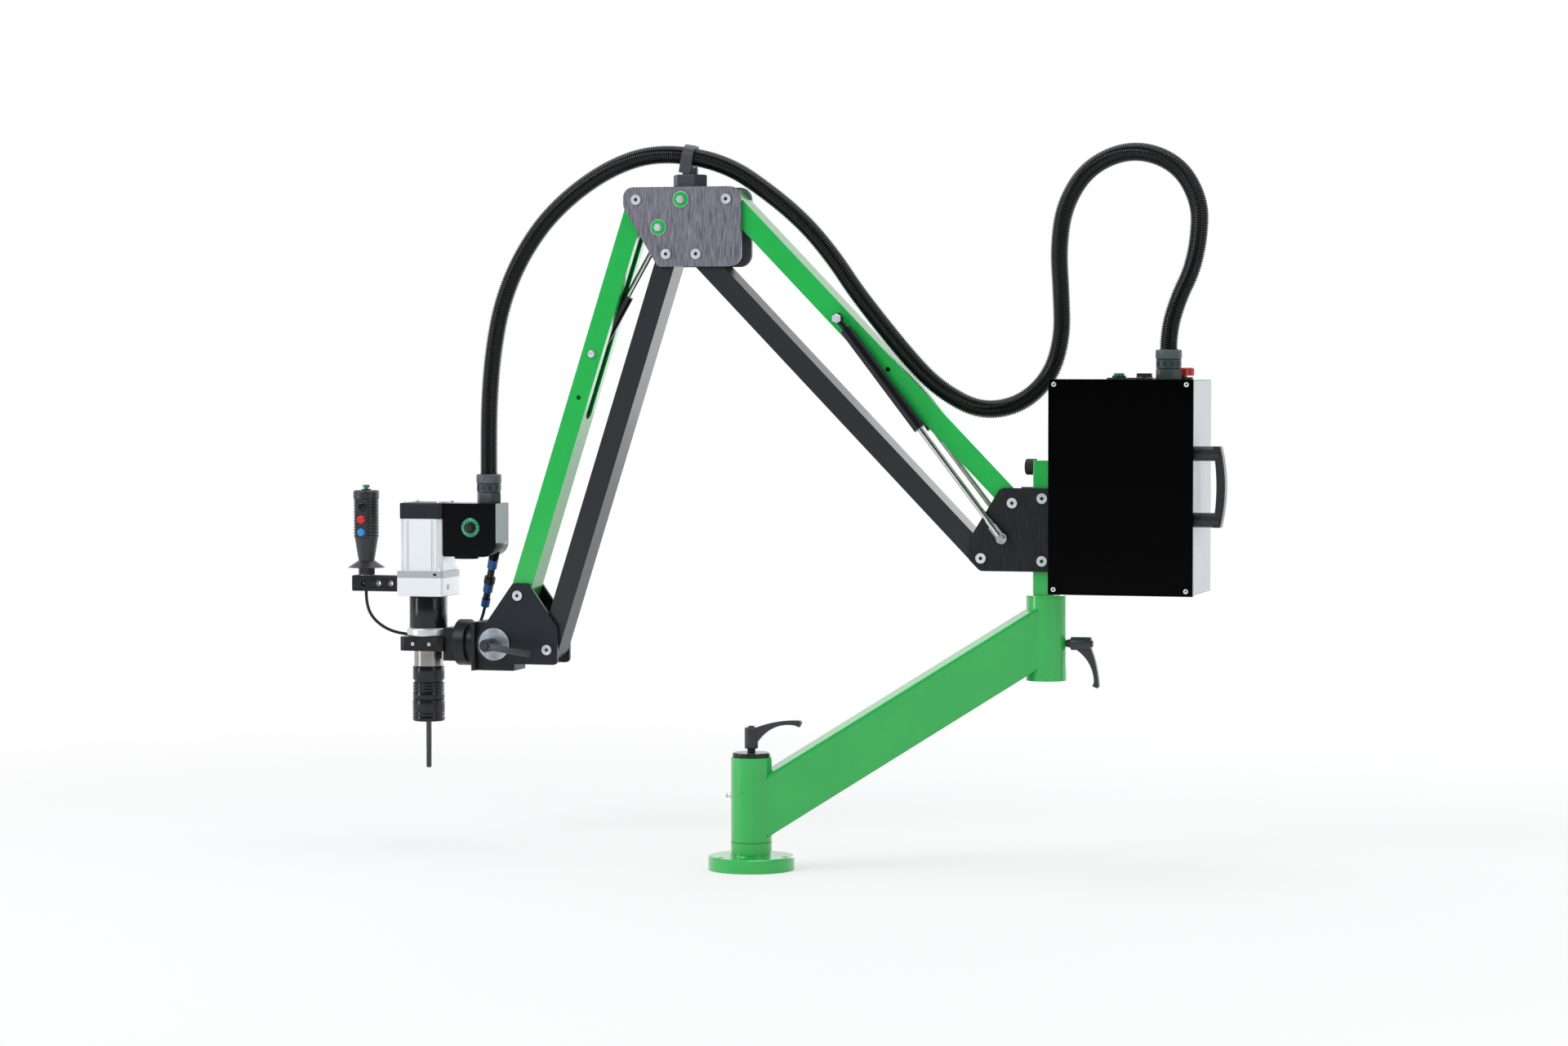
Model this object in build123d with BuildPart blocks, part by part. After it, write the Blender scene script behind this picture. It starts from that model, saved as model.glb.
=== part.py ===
from build123d import *
import os
from math import atan2, cos, degrees, hypot, pi, radians, sin, tan

os.makedirs("parts", exist_ok=True)

# Arm tapping machine. Millimetres. The origin is the middle of the base flange's underside,
# Z is up, X runs from the tapping head towards the column and Y away from the viewer.

# ---------------------------------------------------------------- clearances
pin_play = 0.05          # radial, pins and shafts that turn or slide in their holes
turn_gap = 0.3           # between flat faces of bodies that turn on each other
seat_gap = 0.1           # radial, parts that sit still in a hole

# ---------------------------------------------------------------- base and extension arm
flange_dia, flange_thick = 160, 26
bench_hole_dia, bench_hole_circle, bench_hole_count, bench_hole_turn = 11, 136, 3, 112
sleeve_dia, spigot_dia = 76, 50
post_top = 52
base_sleeve_top = 209
reach, reach_turn = 560, 26          # base axis to column axis, seen from above
beam_high, beam_wide, beam_wall = 100, 62, 5
beam_low_z, beam_high_z = 104, 438   # its centreline on the two axes
column_sleeve_bottom, column_sleeve_top = 344, 500
cap_dia, cap_thick = 70, 8

# ---------------------------------------------------------------- clamping levers
lever_hub_dia, lever_hub_long, lever_neck_dia, lever_neck = 25, 39, 15, 7
lever_reach, column_lever_reach, lever_rise, lever_thick = 97, 83, 52, 12
lever_stud_dia, lever_stud_in = 12, 30

# ---------------------------------------------------------------- column and its bracket
column_wide, column_deep, column_top = 40, 60, 757
bracket_low, bracket_high, bracket_right = 549, 705, 21
plate_thick, plate_gap = 8, 63       # every pair of plates, and the space between them
bumper_dia, bumper_long, bumper_z = 30, 20, 744

# ---------------------------------------------------------------- arms
link = 800                           # pivot to pivot, all four arm tubes
tube_wide, tube_deep, tube_wall = 40, 60, 3
tube_solid_end = 24                  # from a pivot to where the tube gets hollow
rear_rise, front_lean = 45.7, 17.7   # from level, and from upright
link_x, link_z = 60, 104             # from an upper pivot to its lower one
elbow_wide = 180                     # between the two upper elbow pivots
pivot_x, pivot_z = -57, 677          # the rear arm's upper pivot, from the column axis
pin_dia, head_dia, head_high = 12, 19.5, 3.6
slot_wide, slot_end = 28, 435        # in the front arm, the end measured from the elbow
spare_hole_dia = 9

# ---------------------------------------------------------------- gas springs
spring_body_dia, spring_rod_dia, spring_body_long = 23, 11, 262
spring_out = 47.5                    # of the rear pair, from the arm's middle plane
rear_anchor, rear_anchor_spare = 482, 348
stud_x, stud_z = -18, -66            # on the bracket, from the rear arm's upper pivot
eye_dia, eye_thick, eye_long = 21, 11, 44
front_anchor, front_anchor_spare = 309, 397
tie_x, tie_z = 45, -53               # the elbow's lower tie bolt, from the front upper pivot
front_body_long, front_eye_dia, front_eye_play = 128, 26, 3.9
spring_pin_dia = 8

# ---------------------------------------------------------------- tapping head
tilt_x, tilt_z = -48, -95            # from the front arm's upper pivot at the head
tilt_round = 38                      # of the head plates about the tilt axis
block_front, block_high, block_low = 38, 42, 52
face_wide, face_thick = 88, 7
disc_dia, disc_thick, tilt_stud_dia, tilt_stud_in = 63, 5, 8, 28
swivel_dia, swivel_thick, swivel_neck_dia, swivel_long = 90, 24, 74, 40
swivel_pin_dia, swivel_pin_long = 40, 34
spindle_back = 152                   # tilt axis to spindle axis
gear_dia, gear_long = 74, 63
ring_dia, ring_high = 83, 17
clamp_wide, clamp_deep, clamp_high, clamp_slot = 94, 84, 27, 2
boss_deep, boss_high = 60, 64
housing_size, housing_high, mflange_high = 96, 36, 13
motor_size, motor_high, mcap_high = 88, 102, 31
cbox_long, cbox_deep, cbox_high, cbox_round = 110, 72, 104, 28
dial_x, dial_z, knob_dia, knob_high = 58, -47, 20, 15
quill_dia, quill_long, quill_bore = 56.5, 31, 30
chuck_dia, chuck_core_dia, chuck_long, chuck_shoulder = 62, 56, 65, 27
release_travel = 5
holder_dia, holder_long, holder_shank_dia, holder_shank_long = 63, 43, 31, 34
tap_dia, tap_core_dia, tap_out, tap_thread_long = 10.5, 4.6, 92, 42
bar_long, bar_high, bar_deep, bar_hole_dia = 108, 31, 26, 13
grip_dia, grip_neck_dia, grip_flare_dia = 49, 31, 73
grip_rib_long, grip_taper_long, grip_flare_high, grip_nut_high = 78, 44, 14, 14
grip_cap_high, grip_rib_count = 16, 13
button_travel, button_fit = 2.5, 0.08

# ---------------------------------------------------------------- control box
box_long, box_deep, box_high, box_wall = 268, 188, 395, 2
box_left, box_bottom = 25, 512       # from the column axis, and above the bench
handle_apart, handle_out, handle_leg_dia = 122, 46, 27
gland_hex, gland_hex_high, gland_dia, gland_high = 42, 21, 49, 35
gland_in = 12
stop_dia, stop_high = 40, 20

# ---------------------------------------------------------------- hose and cable
socket_dia = 20                      # on the connector box, for the grip cable's plug
hose_dia, hose_bore, rib_deep, rib_pitch, span_ribs = 35, 27, 2.2, 14, 20
clip_lean = 10                       # of the hose where the clip holds it
cable_dia = 6

# ================================================================ places
col_x, col_y = reach * cos(radians(reach_turn)), reach * sin(radians(reach_turn))
beam_slope = degrees(atan2(beam_high_z - beam_low_z, reach))
rear_dir = Vector(-cos(radians(rear_rise)), 0, sin(radians(rear_rise)))
front_dir = Vector(-sin(radians(front_lean)), 0, -cos(radians(front_lean)))
C_up = Vector(col_x + pivot_x, col_y, pivot_z)
C_low = C_up + Vector(-link_x, 0, -link_z)
E_rear_up, E_rear_low = C_up + rear_dir * link, C_low + rear_dir * link
E_front_up = E_rear_up + Vector(-elbow_wide, 0, 0)
E_front_low = E_front_up + Vector(link_x, 0, -link_z)
H_up, H_low = E_front_up + front_dir * link, E_front_low + front_dir * link
tilt = H_up + Vector(tilt_x, 0, tilt_z)
spin = tilt + Vector(-spindle_back, 0, 0)
tie_mid = (E_rear_up + E_front_up) / 2
tie_low = E_front_up + Vector(tie_x, 0, tie_z)
stud = C_up + Vector(stud_x, 0, stud_z)
rear_pin = C_up + rear_dir * rear_anchor
front_pin = E_front_up + front_dir * front_anchor
rear_spring_dir = (stud - rear_pin).normalized()
front_spring_dir = (tie_low - front_pin).normalized()
plate_out = plate_gap / 2 + plate_thick          # outer face of a plate, from the arm plane
boxes_x = col_x + box_left + box_long / 2        # middle of the control box
box_top = box_bottom + box_high

# heights of the stack on the spindle axis
clamp_bottom = tilt.Z - clamp_high / 2 - 3
clamp_top = clamp_bottom + clamp_high
ring_top = clamp_top + ring_high
gear_top = ring_top + gear_long
housing_top = gear_top + housing_high
mflange_top = housing_top + mflange_high
motor_top = mflange_top + motor_high
mcap_top = motor_top + mcap_high
quill_bottom = clamp_bottom - quill_long
chuck_bottom = quill_bottom - chuck_long
holder_bottom = chuck_bottom - turn_gap - holder_long


def arm_plane(out=0.0):
    """The arm's middle plane, moved out towards the viewer. Sketch x is X and sketch y is Z."""
    return Plane.XZ.offset(out - col_y)


def across(point, out=0.0):
    """A plane at a point of the arm plane, its normal towards the viewer."""
    return Plane(origin=(point.X, col_y - out, point.Z), x_dir=(1, 0, 0), z_dir=(0, -1, 0))


def cross_pin(point, dia, half):
    """A pin across the arm plane, the same length to both sides."""
    with Locations(across(point)):
        Cylinder(dia / 2, 2 * half)


def cross_hole(point, dia):
    with Locations(across(point)):
        Cylinder(dia / 2, 400, mode=Mode.SUBTRACT)


def bolt_head(point, out, side, dia=head_dia, high=head_high):
    """A round socket head, its foot at the distance out from the arm plane."""
    with Locations(across(point, side * (out + high / 2))):
        Cylinder(dia / 2, high)
    with Locations(across(point, side * (out + high - 1))):
        Cylinder(3.4, 2.02, mode=Mode.SUBTRACT)


# ================================================================ base
with BuildPart() as base_pedestal:
    Cylinder(flange_dia / 2, flange_thick, align=(Align.CENTER, Align.CENTER, Align.MIN))
    chamfer(base_pedestal.edges().filter_by(GeomType.CIRCLE).sort_by(Axis.Z)[-1], 2)
    Cylinder(sleeve_dia / 2, post_top, align=(Align.CENTER, Align.CENTER, Align.MIN))
    spigot_top = base_sleeve_top - 2
    Cylinder(spigot_dia / 2, spigot_top, align=(Align.CENTER, Align.CENTER, Align.MIN))
    with Locations((0, 0, flange_thick)):
        with PolarLocations(bench_hole_circle / 2, bench_hole_count, start_angle=bench_hole_turn):
            Hole(bench_hole_dia / 2, depth=flange_thick)
    with Locations((0, 0, spigot_top)):
        Hole(lever_stud_dia / 2 + pin_play, depth=lever_stud_in + 4)
base_pedestal.part.label = "base_pedestal"
export_step(base_pedestal.part, "parts/base_pedestal.step")

# ================================================================ extension arm, welded
beam_run = reach / cos(radians(beam_slope))
beam_middle_z = (beam_low_z + beam_high_z) / 2
beam_plane = Plane(
    origin=(col_x / 2, col_y / 2, beam_middle_z),
    x_dir=(cos(radians(reach_turn)), sin(radians(reach_turn)), tan(radians(beam_slope))),
    z_dir=(sin(radians(reach_turn)), -cos(radians(reach_turn)), 0),
)
with BuildPart() as extension_arm:
    with BuildSketch(beam_plane.offset(-beam_wide / 2)):
        Rectangle(beam_run, beam_high)
    extrude(amount=beam_wide)
    fillet(extension_arm.edges().filter_by(lambda e: e.length > beam_run - 1), 5)
    with BuildSketch(beam_plane.offset(-beam_wide / 2 + beam_wall)):
        Rectangle(beam_run - sleeve_dia - 60, beam_high - 2 * beam_wall)
    extrude(amount=beam_wide - 2 * beam_wall, mode=Mode.SUBTRACT)
    low = post_top + turn_gap
    with Locations((0, 0, low)):
        Cylinder(sleeve_dia / 2, base_sleeve_top - low, align=(Align.CENTER, Align.CENTER, Align.MIN))
    with Locations((col_x, col_y, column_sleeve_bottom)):
        Cylinder(sleeve_dia / 2, column_sleeve_top - column_sleeve_bottom,
                 align=(Align.CENTER, Align.CENTER, Align.MIN))
    # the beam's ends are cut away inside and past both sleeves
    for x, y, z0, z1 in ((0, 0, low, base_sleeve_top),
                         (col_x, col_y, column_sleeve_bottom, column_sleeve_top)):
        with Locations((x, y, z0)):
            Cylinder(spigot_dia / 2 + pin_play, z1 - z0, mode=Mode.SUBTRACT,
                     align=(Align.CENTER, Align.CENTER, Align.MIN))
    lever_z = 414
    with Locations(Plane(origin=(col_x, col_y, lever_z), z_dir=(1, 0, 0))):
        Cylinder(lever_stud_dia / 2 + pin_play, sleeve_dia, mode=Mode.SUBTRACT,
                 align=(Align.CENTER, Align.CENTER, Align.MIN))
extension_arm.part.label = "extension_arm"
export_step(extension_arm.part, "parts/extension_arm.step")

with BuildPart() as sleeve_cap:
    with Locations((0, 0, base_sleeve_top + turn_gap)):
        Cylinder(cap_dia / 2, cap_thick, align=(Align.CENTER, Align.CENTER, Align.MIN))
        chamfer(sleeve_cap.edges().filter_by(GeomType.CIRCLE).sort_by(Axis.Z)[-1], 1.5)
        Cylinder(lever_stud_dia / 2 + pin_play, cap_thick, mode=Mode.SUBTRACT,
                 align=(Align.CENTER, Align.CENTER, Align.MIN))
sleeve_cap.part.label = "sleeve_cap"
export_step(sleeve_cap.part, "parts/sleeve_cap.step")


def clamp_lever(plane, stud_long, stud_dia=lever_stud_dia, far=lever_reach):
    """A clamping lever: the plane's origin is under its neck, z its axis and x its handle."""
    with BuildPart(plane) as lever:
        with Locations((0, 0, lever_neck)):
            Cylinder(lever_hub_dia / 2, lever_hub_long, align=(Align.CENTER, Align.CENTER, Align.MIN))
        chamfer(lever.edges().filter_by(GeomType.CIRCLE), 1.5)
        Cylinder(lever_neck_dia / 2, lever_neck, align=(Align.CENTER, Align.CENTER, Align.MIN))
        with Locations((0, 0, lever_neck + lever_hub_long)):
            Cylinder(6, 3, align=(Align.CENTER, Align.CENTER, Align.MIN))
        Cylinder(stud_dia / 2, stud_long, align=(Align.CENTER, Align.CENTER, Align.MAX))
        top = lever_neck + lever_hub_long
        side = Plane(origin=plane.origin, x_dir=plane.x_dir, z_dir=-plane.y_dir)
        with BuildSketch(side):
            with BuildLine():
                Line((6, top - 27), (lever_hub_dia / 2, top - 26))
                ThreePointArc((lever_hub_dia / 2, top - 26), (34, top - 5),
                              (far - 11, top + lever_rise - 46))
                Line((far - 11, top + lever_rise - 46), (far - 4, top + 3))
                Line((far - 4, top + 3), (far, top + 12))
                Line((far, top + 12), (far - 3, top + 15))
                ThreePointArc((far - 3, top + 15), (46, top + 11), (6, top - 1))
                Line((6, top - 1), (6, top - 27))
            make_face()
        extrude(amount=lever_thick / 2, both=True)
    return lever


# the base lever hangs on the spigot, the others on their own clamps
lever_seat = base_sleeve_top + turn_gap + cap_thick + turn_gap
base_lever = clamp_lever(Plane(origin=(0, 0, lever_seat), x_dir=(1, 0, 0), z_dir=(0, 0, 1)),
                         lever_seat - spigot_top + lever_stud_in)
base_lever.part.label = "base_lever"
export_step(base_lever.part, "parts/base_lever.step")

column_lever = clamp_lever(
    Plane(origin=(col_x + sleeve_dia / 2 + 2, col_y, lever_z), x_dir=(0, 0, -1), z_dir=(1, 0, 0)),
    (sleeve_dia - spigot_dia) / 2 + 1, far=column_lever_reach)
column_lever.part.label = "column_lever"
export_step(column_lever.part, "parts/column_lever.step")

# ================================================================ column
with BuildPart() as column_tube:
    foot = column_sleeve_top + turn_gap
    with Locations((col_x, col_y, foot)):
        Box(column_wide, column_deep, column_top - foot, align=(Align.CENTER, Align.CENTER, Align.MIN))
        fillet(column_tube.edges().filter_by(Axis.Z), 3)
        Cylinder(sleeve_dia / 2, 4, align=(Align.CENTER, Align.CENTER, Align.MIN))
        Cylinder(spigot_dia / 2, foot - column_sleeve_bottom,
                 align=(Align.CENTER, Align.CENTER, Align.MAX))
    with Locations((col_x, col_y, foot + 20)):
        Box(column_wide - 2 * tube_wall, column_deep - 2 * tube_wall, column_top - foot - 22,
            align=(Align.CENTER, Align.CENTER, Align.MIN), mode=Mode.SUBTRACT)
    bracket_bolt_points = [Vector(col_x, col_y, z) for z in (569, 686)]
    for p in bracket_bolt_points:
        cross_hole(p, pin_dia + 2 * seat_gap)
    with Locations(Plane(origin=(col_x - column_wide / 2, col_y, bumper_z), z_dir=(1, 0, 0))):
        Hole(4 + seat_gap, depth=tube_wall + 1)
column_tube.part.label = "column_tube"
export_step(column_tube.part, "parts/column_tube.step")

# two plates carry the rear arm; their outline is given from the column axis
with BuildPart() as bracket_plates:
    for near in (1, -1):
        inner = plate_gap / 2 if near == 1 else -plate_out
        with BuildSketch(arm_plane(inner)) as outline:
            with BuildLine():
                Polyline((col_x + bracket_right, bracket_low), (col_x + bracket_right, bracket_high),
                         (col_x - 80, bracket_high), (col_x - 137, bracket_high - 92),
                         (col_x - 143, C_low.Z), (col_x - 119, bracket_low), close=True)
            make_face()
            fillet(outline.vertices().sort_by(Axis.X)[:4], 14)
        extrude(amount=plate_thick)
    for p in (C_up, C_low):
        cross_hole(p, pin_dia + 2 * seat_gap)
    for p in bracket_bolt_points:
        cross_hole(p, pin_dia + 2 * seat_gap)
bracket_plates.part.label = "bracket_plates"
export_step(bracket_plates.part, "parts/bracket_plates.step")

with BuildPart() as bracket_bolts:
    for p in [C_up, C_low] + bracket_bolt_points:
        cross_pin(p, pin_dia, plate_out)
        for side in (1, -1):
            bolt_head(p, plate_out, side)
bracket_bolts.part.label = "bracket_bolts"
export_step(bracket_bolts.part, "parts/bracket_bolts.step")

with BuildPart() as column_bumper:
    with Locations(Plane(origin=(col_x - column_wide / 2, col_y, bumper_z), z_dir=(-1, 0, 0))):
        Cylinder(bumper_dia / 2, bumper_long, align=(Align.CENTER, Align.CENTER, Align.MIN))
        fillet(column_bumper.edges().filter_by(GeomType.CIRCLE).sort_by(Axis.X)[0], 3)
        Cylinder(4, tube_wall, align=(Align.CENTER, Align.CENTER, Align.MAX))
column_bumper.part.label = "column_bumper"
export_step(column_bumper.part, "parts/column_bumper.step")

# ================================================================ control box
box_front = col_y - box_deep / 2
cover_thick, cover_lip = 1.5, 10
with BuildPart() as box_shell:
    with Locations((boxes_x, col_y + cover_thick / 2 + 0.1, box_bottom + box_high / 2)):
        Box(box_long, box_deep - cover_thick - 0.2, box_high)
    offset(amount=-box_wall, openings=box_shell.faces().sort_by(Axis.Y)[0])
    # the sheet metal seat on the column's side
    with Locations((col_x + (column_wide / 2 + box_left) / 2, col_y, box_bottom + 100)):
        Box(box_left - column_wide / 2, 40, 120)
    gland_x = boxes_x + 71.5
    with Locations((gland_x, col_y, box_top)):
        Hole(gland_in + seat_gap + 4, depth=box_wall)
box_shell.part.label = "box_shell"
export_step(box_shell.part, "parts/box_shell.step")

with BuildPart() as box_cover:
    skin = 2 * (cover_thick + 0.3)
    with Locations((boxes_x, box_front + (cover_lip + cover_thick) / 2, box_bottom + box_high / 2)):
        Box(box_long + skin, cover_lip + cover_thick, box_high + skin)
    offset(amount=-cover_thick, openings=box_cover.faces().sort_by(Axis.Y)[-1])
box_cover.part.label = "box_cover"
export_step(box_cover.part, "parts/box_cover.step")

handle_x = boxes_x + box_long / 2 + cover_thick + 0.3
handle_y = box_front + cover_lip + cover_thick + handle_leg_dia / 2 + 2
handle_z = box_bottom + 199.5
with BuildPart() as box_handle:
    shell_side = boxes_x + box_long / 2
    for z in (handle_z - handle_apart / 2, handle_z + handle_apart / 2):
        with Locations(Plane(origin=(shell_side, handle_y, z), z_dir=(1, 0, 0))):
            Cylinder(handle_leg_dia / 2, handle_out, align=(Align.CENTER, Align.CENTER, Align.MIN))
    half = (handle_apart + handle_leg_dia) / 2
    with BuildSketch(Plane.XZ.offset(-handle_y)):
        with BuildLine():
            x0, x1 = shell_side + handle_out - 7, shell_side + handle_out + 3
            ThreePointArc((x1, handle_z - half), (x1 + 9, handle_z), (x1, handle_z + half))
            Line((x1, handle_z + half), (x0 - 4, handle_z + half))
            ThreePointArc((x0 - 4, handle_z + half), (x0 + 3, handle_z), (x0 - 4, handle_z - half))
            Line((x0 - 4, handle_z - half), (x1, handle_z - half))
        make_face()
    extrude(amount=handle_leg_dia / 2 - 2, both=True)
box_handle.part.label = "box_handle"
export_step(box_handle.part, "parts/box_handle.step")

# on the box's lid: two switches on one base, the gland of the hose and the stop button
base_long, base_deep, base_high = 86, 40, 4
switch_x = boxes_x + 1
stop_x, stop_y, stop_collar_high, stop_shank_dia = gland_x + 19, col_y + 50, 5, 12
with BuildPart() as box_switch_base:
    with Locations((switch_x, col_y, box_top)):
        Box(base_long, base_deep, base_high, align=(Align.CENTER, Align.CENTER, Align.MIN))
        fillet(box_switch_base.edges().filter_by(Axis.Z), 4)
    start_x, turn_x = switch_x - 23, switch_x + 25
    start_dia, start_high, turn_dia, turn_high, shank_dia = 20, 6, 30, 8, 8
    for x in (start_x, turn_x):
        with Locations((x, col_y, box_top + base_high)):
            Hole(shank_dia / 2 + pin_play, depth=base_high)
    with Locations((start_x, col_y, box_top + base_high)):
        Cylinder(start_dia / 2 + 3, 4, align=(Align.CENTER, Align.CENTER, Align.MIN))
        Cylinder(start_dia / 2 + 0.1, 4, align=(Align.CENTER, Align.CENTER, Align.MIN),
                 mode=Mode.SUBTRACT)
    with Locations((stop_x, stop_y, box_top)):
        Cylinder(stop_dia / 2 - 3, stop_collar_high, align=(Align.CENTER, Align.CENTER, Align.MIN))
        Cylinder(stop_shank_dia / 2 + pin_play, stop_collar_high,
                 align=(Align.CENTER, Align.CENTER, Align.MIN), mode=Mode.SUBTRACT)
box_switch_base.part.label = "box_switch_base"
export_step(box_switch_base.part, "parts/box_switch_base.step")

with BuildPart() as box_start_button:
    with Locations((start_x, col_y, box_top + base_high + button_travel + 0.2)):
        Cylinder(start_dia / 2, start_high, align=(Align.CENTER, Align.CENTER, Align.MIN))
        fillet(box_start_button.edges().filter_by(GeomType.CIRCLE).sort_by(Axis.Z)[-1], 1.5)
        Cylinder(shank_dia / 2, base_high,
                 align=(Align.CENTER, Align.CENTER, Align.MAX))
box_start_button.part.label = "box_start_button"
export_step(box_start_button.part, "parts/box_start_button.step")

with BuildPart() as box_selector:
    with Locations((turn_x, col_y, box_top + base_high + turn_gap)):
        Cylinder(turn_dia / 2, 3, align=(Align.CENTER, Align.CENTER, Align.MIN))
        Box(turn_dia - 2, 9, turn_high, align=(Align.CENTER, Align.CENTER, Align.MIN))
        Cylinder(shank_dia / 2, base_high, align=(Align.CENTER, Align.CENTER, Align.MAX))
box_selector.part.label = "box_selector"
export_step(box_selector.part, "parts/box_selector.step")

with BuildPart() as box_stop_button:
    with Locations((stop_x, stop_y, box_top + stop_collar_high + button_travel + turn_gap)):
        Cylinder(stop_dia / 2, stop_high - stop_collar_high, align=(Align.CENTER, Align.CENTER, Align.MIN))
        fillet(box_stop_button.edges().filter_by(GeomType.CIRCLE).sort_by(Axis.Z)[-1], 4)
        Cylinder(stop_shank_dia / 2, stop_collar_high,
                 align=(Align.CENTER, Align.CENTER, Align.MAX))
box_stop_button.part.label = "box_stop_button"
export_step(box_stop_button.part, "parts/box_stop_button.step")


def hose_gland(place):
    """A conduit gland standing on a panel, with its thread through it and its bore open."""
    with BuildPart(Plane(origin=place)) as gland:
        with BuildSketch(Plane(origin=place)):
            RegularPolygon(gland_hex / 2, 6, major_radius=False)
        extrude(amount=gland_hex_high)
        with Locations((0, 0, gland_hex_high)):
            Cylinder(gland_dia / 2, gland_high, align=(Align.CENTER, Align.CENTER, Align.MIN))
        fillet(gland.edges().filter_by(GeomType.CIRCLE).sort_by(Axis.Z)[-1], 2)
        with Locations((0, 0, gland_hex_high + gland_high / 2)):
            with PolarLocations(gland_dia / 2, 12):
                Box(3, 4, 12, mode=Mode.SUBTRACT)
        Cylinder(gland_in + 4, box_wall + 8, align=(Align.CENTER, Align.CENTER, Align.MAX))
        Cylinder(gland_in, 200, mode=Mode.SUBTRACT)
    return gland


gland_top = gland_hex_high + gland_high
box_gland = hose_gland((gland_x, col_y, box_top))
box_gland.part.label = "box_gland"
export_step(box_gland.part, "parts/box_gland.step")

with BuildPart() as drive_unit:
    drive_deep, drive_high = 110, 300
    with Locations((boxes_x, col_y + box_deep / 2 - box_wall - 0.1, box_bottom + 190)):
        Box(180, drive_deep, drive_high, align=(Align.CENTER, Align.MAX, Align.CENTER))
    with Locations(*[(boxes_x + x, col_y + box_deep / 2 - box_wall - drive_deep, box_bottom + 190)
                     for x in range(-72, 73, 18)]):
        Box(6, 20, drive_high - 30, mode=Mode.SUBTRACT)
drive_unit.part.label = "drive_unit"
export_step(drive_unit.part, "parts/drive_unit.step")

# ================================================================ arms
def arm_tube(start, end, holes):
    """A rectangular tube with round ends about its two pivots."""
    along = end - start
    middle = (start + end) / 2
    turn = degrees(atan2(along.Z, along.X))
    with BuildPart() as tube:
        with BuildSketch(arm_plane()):
            with Locations((middle.X, middle.Z)):
                SlotCenterToCenter(link, tube_wide, rotation=turn)
        extrude(amount=tube_deep / 2, both=True)
        with BuildSketch(arm_plane()):
            with Locations((middle.X, middle.Z)):
                Rectangle(link - 2 * tube_solid_end, tube_wide - 2 * tube_wall, rotation=turn)
        extrude(amount=tube_deep / 2 - tube_wall, both=True, mode=Mode.SUBTRACT)
        for p in (start, end):
            cross_hole(p, pin_dia + 2 * pin_play)
        for p, dia in holes:
            cross_hole(p, dia)
    return tube


rear_spare = C_up + rear_dir * rear_anchor_spare
front_spare = E_front_up + front_dir * front_anchor_spare
rear_arm_upper = arm_tube(C_up, E_rear_up,
                          [(rear_pin, spring_pin_dia + 2 * pin_play), (rear_spare, spare_hole_dia)])
rear_arm_upper.part.label = "rear_arm_upper"
export_step(rear_arm_upper.part, "parts/rear_arm_upper.step")
rear_arm_lower = arm_tube(C_low, E_rear_low, [])
rear_arm_lower.part.label = "rear_arm_lower"
export_step(rear_arm_lower.part, "parts/rear_arm_lower.step")
front_arm_lower = arm_tube(E_front_low, H_low, [])
front_arm_lower.part.label = "front_arm_lower"
export_step(front_arm_lower.part, "parts/front_arm_lower.step")

front_tube = arm_tube(E_front_up, H_up,
                      [(front_pin, spring_pin_dia + 2 * pin_play), (front_spare, spare_hole_dia)])
with BuildPart() as front_arm_upper:
    add(front_tube.part)
    # the slot in the face that looks back to the column lets the inner gas spring out
    slot_start = 60
    slot_long = slot_end - slot_start
    slot_mid = E_front_up + front_dir * (slot_start + slot_long / 2)
    slot_face = Plane(origin=(slot_mid.X, col_y, slot_mid.Z), x_dir=(front_dir.X, 0, front_dir.Z),
                      z_dir=(-front_dir.Z, 0, front_dir.X))
    with BuildSketch(slot_face):
        SlotOverall(slot_long, slot_wide)
    extrude(amount=tube_wide, mode=Mode.SUBTRACT)
front_arm_upper.part.label = "front_arm_upper"
export_step(front_arm_upper.part, "parts/front_arm_upper.step")

# ================================================================ elbow
with BuildPart() as elbow_plates:
    for near in (1, -1):
        inner = plate_gap / 2 if near == 1 else -plate_out
        with BuildSketch(arm_plane(inner)) as outline:
            x, z = E_front_up.X, E_front_up.Z
            with BuildLine():
                Polyline((x - 26.5, z - 13), (x - 26.5, z + 24), (x + elbow_wide + 29, z + 24),
                         (x + elbow_wide + 29, z - link_z - 24), (x + 43, z - link_z - 24),
                         close=True)
            make_face()
            by_x = outline.vertices().sort_by(Axis.X)
            fillet(by_x[:2], 20)
            fillet(outline.vertices().sort_by(Axis.X)[-2:], 24)
            low_left = outline.vertices().sort_by(Axis.Y)[0]
            fillet(low_left, 10)
        extrude(amount=plate_thick)
    for p in (E_rear_up, E_rear_low, E_front_up, E_front_low):
        cross_hole(p, pin_dia + 2 * seat_gap)
    for p in (tie_mid, tie_low):
        cross_hole(p, spring_pin_dia + 2 * seat_gap)
elbow_plates.part.label = "elbow_plates"
export_step(elbow_plates.part, "parts/elbow_plates.step")

tie_washer_dia, tie_washer_thick = 31, 2.5
with BuildPart() as elbow_bolts:
    for p in (E_rear_up, E_rear_low, E_front_up, E_front_low):
        cross_pin(p, pin_dia, plate_out)
        for side in (1, -1):
            bolt_head(p, plate_out, side)
    for p in (tie_mid, tie_low):
        cross_pin(p, spring_pin_dia, plate_out)
        for side in (1, -1):
            with Locations(across(p, side * (plate_out + tie_washer_thick / 2))):
                Cylinder(tie_washer_dia / 2, tie_washer_thick)
            with BuildSketch(arm_plane(side * (plate_out + tie_washer_thick))):
                with Locations((p.X, p.Z)):
                    RegularPolygon(6.5, 6, major_radius=False)
            extrude(amount=side * 6.5)
            with Locations(across(p, side * (plate_out + tie_washer_thick + 7.5))):
                Cylinder(3.8, 2)
elbow_bolts.part.label = "elbow_bolts"
export_step(elbow_bolts.part, "parts/elbow_bolts.step")

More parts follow.
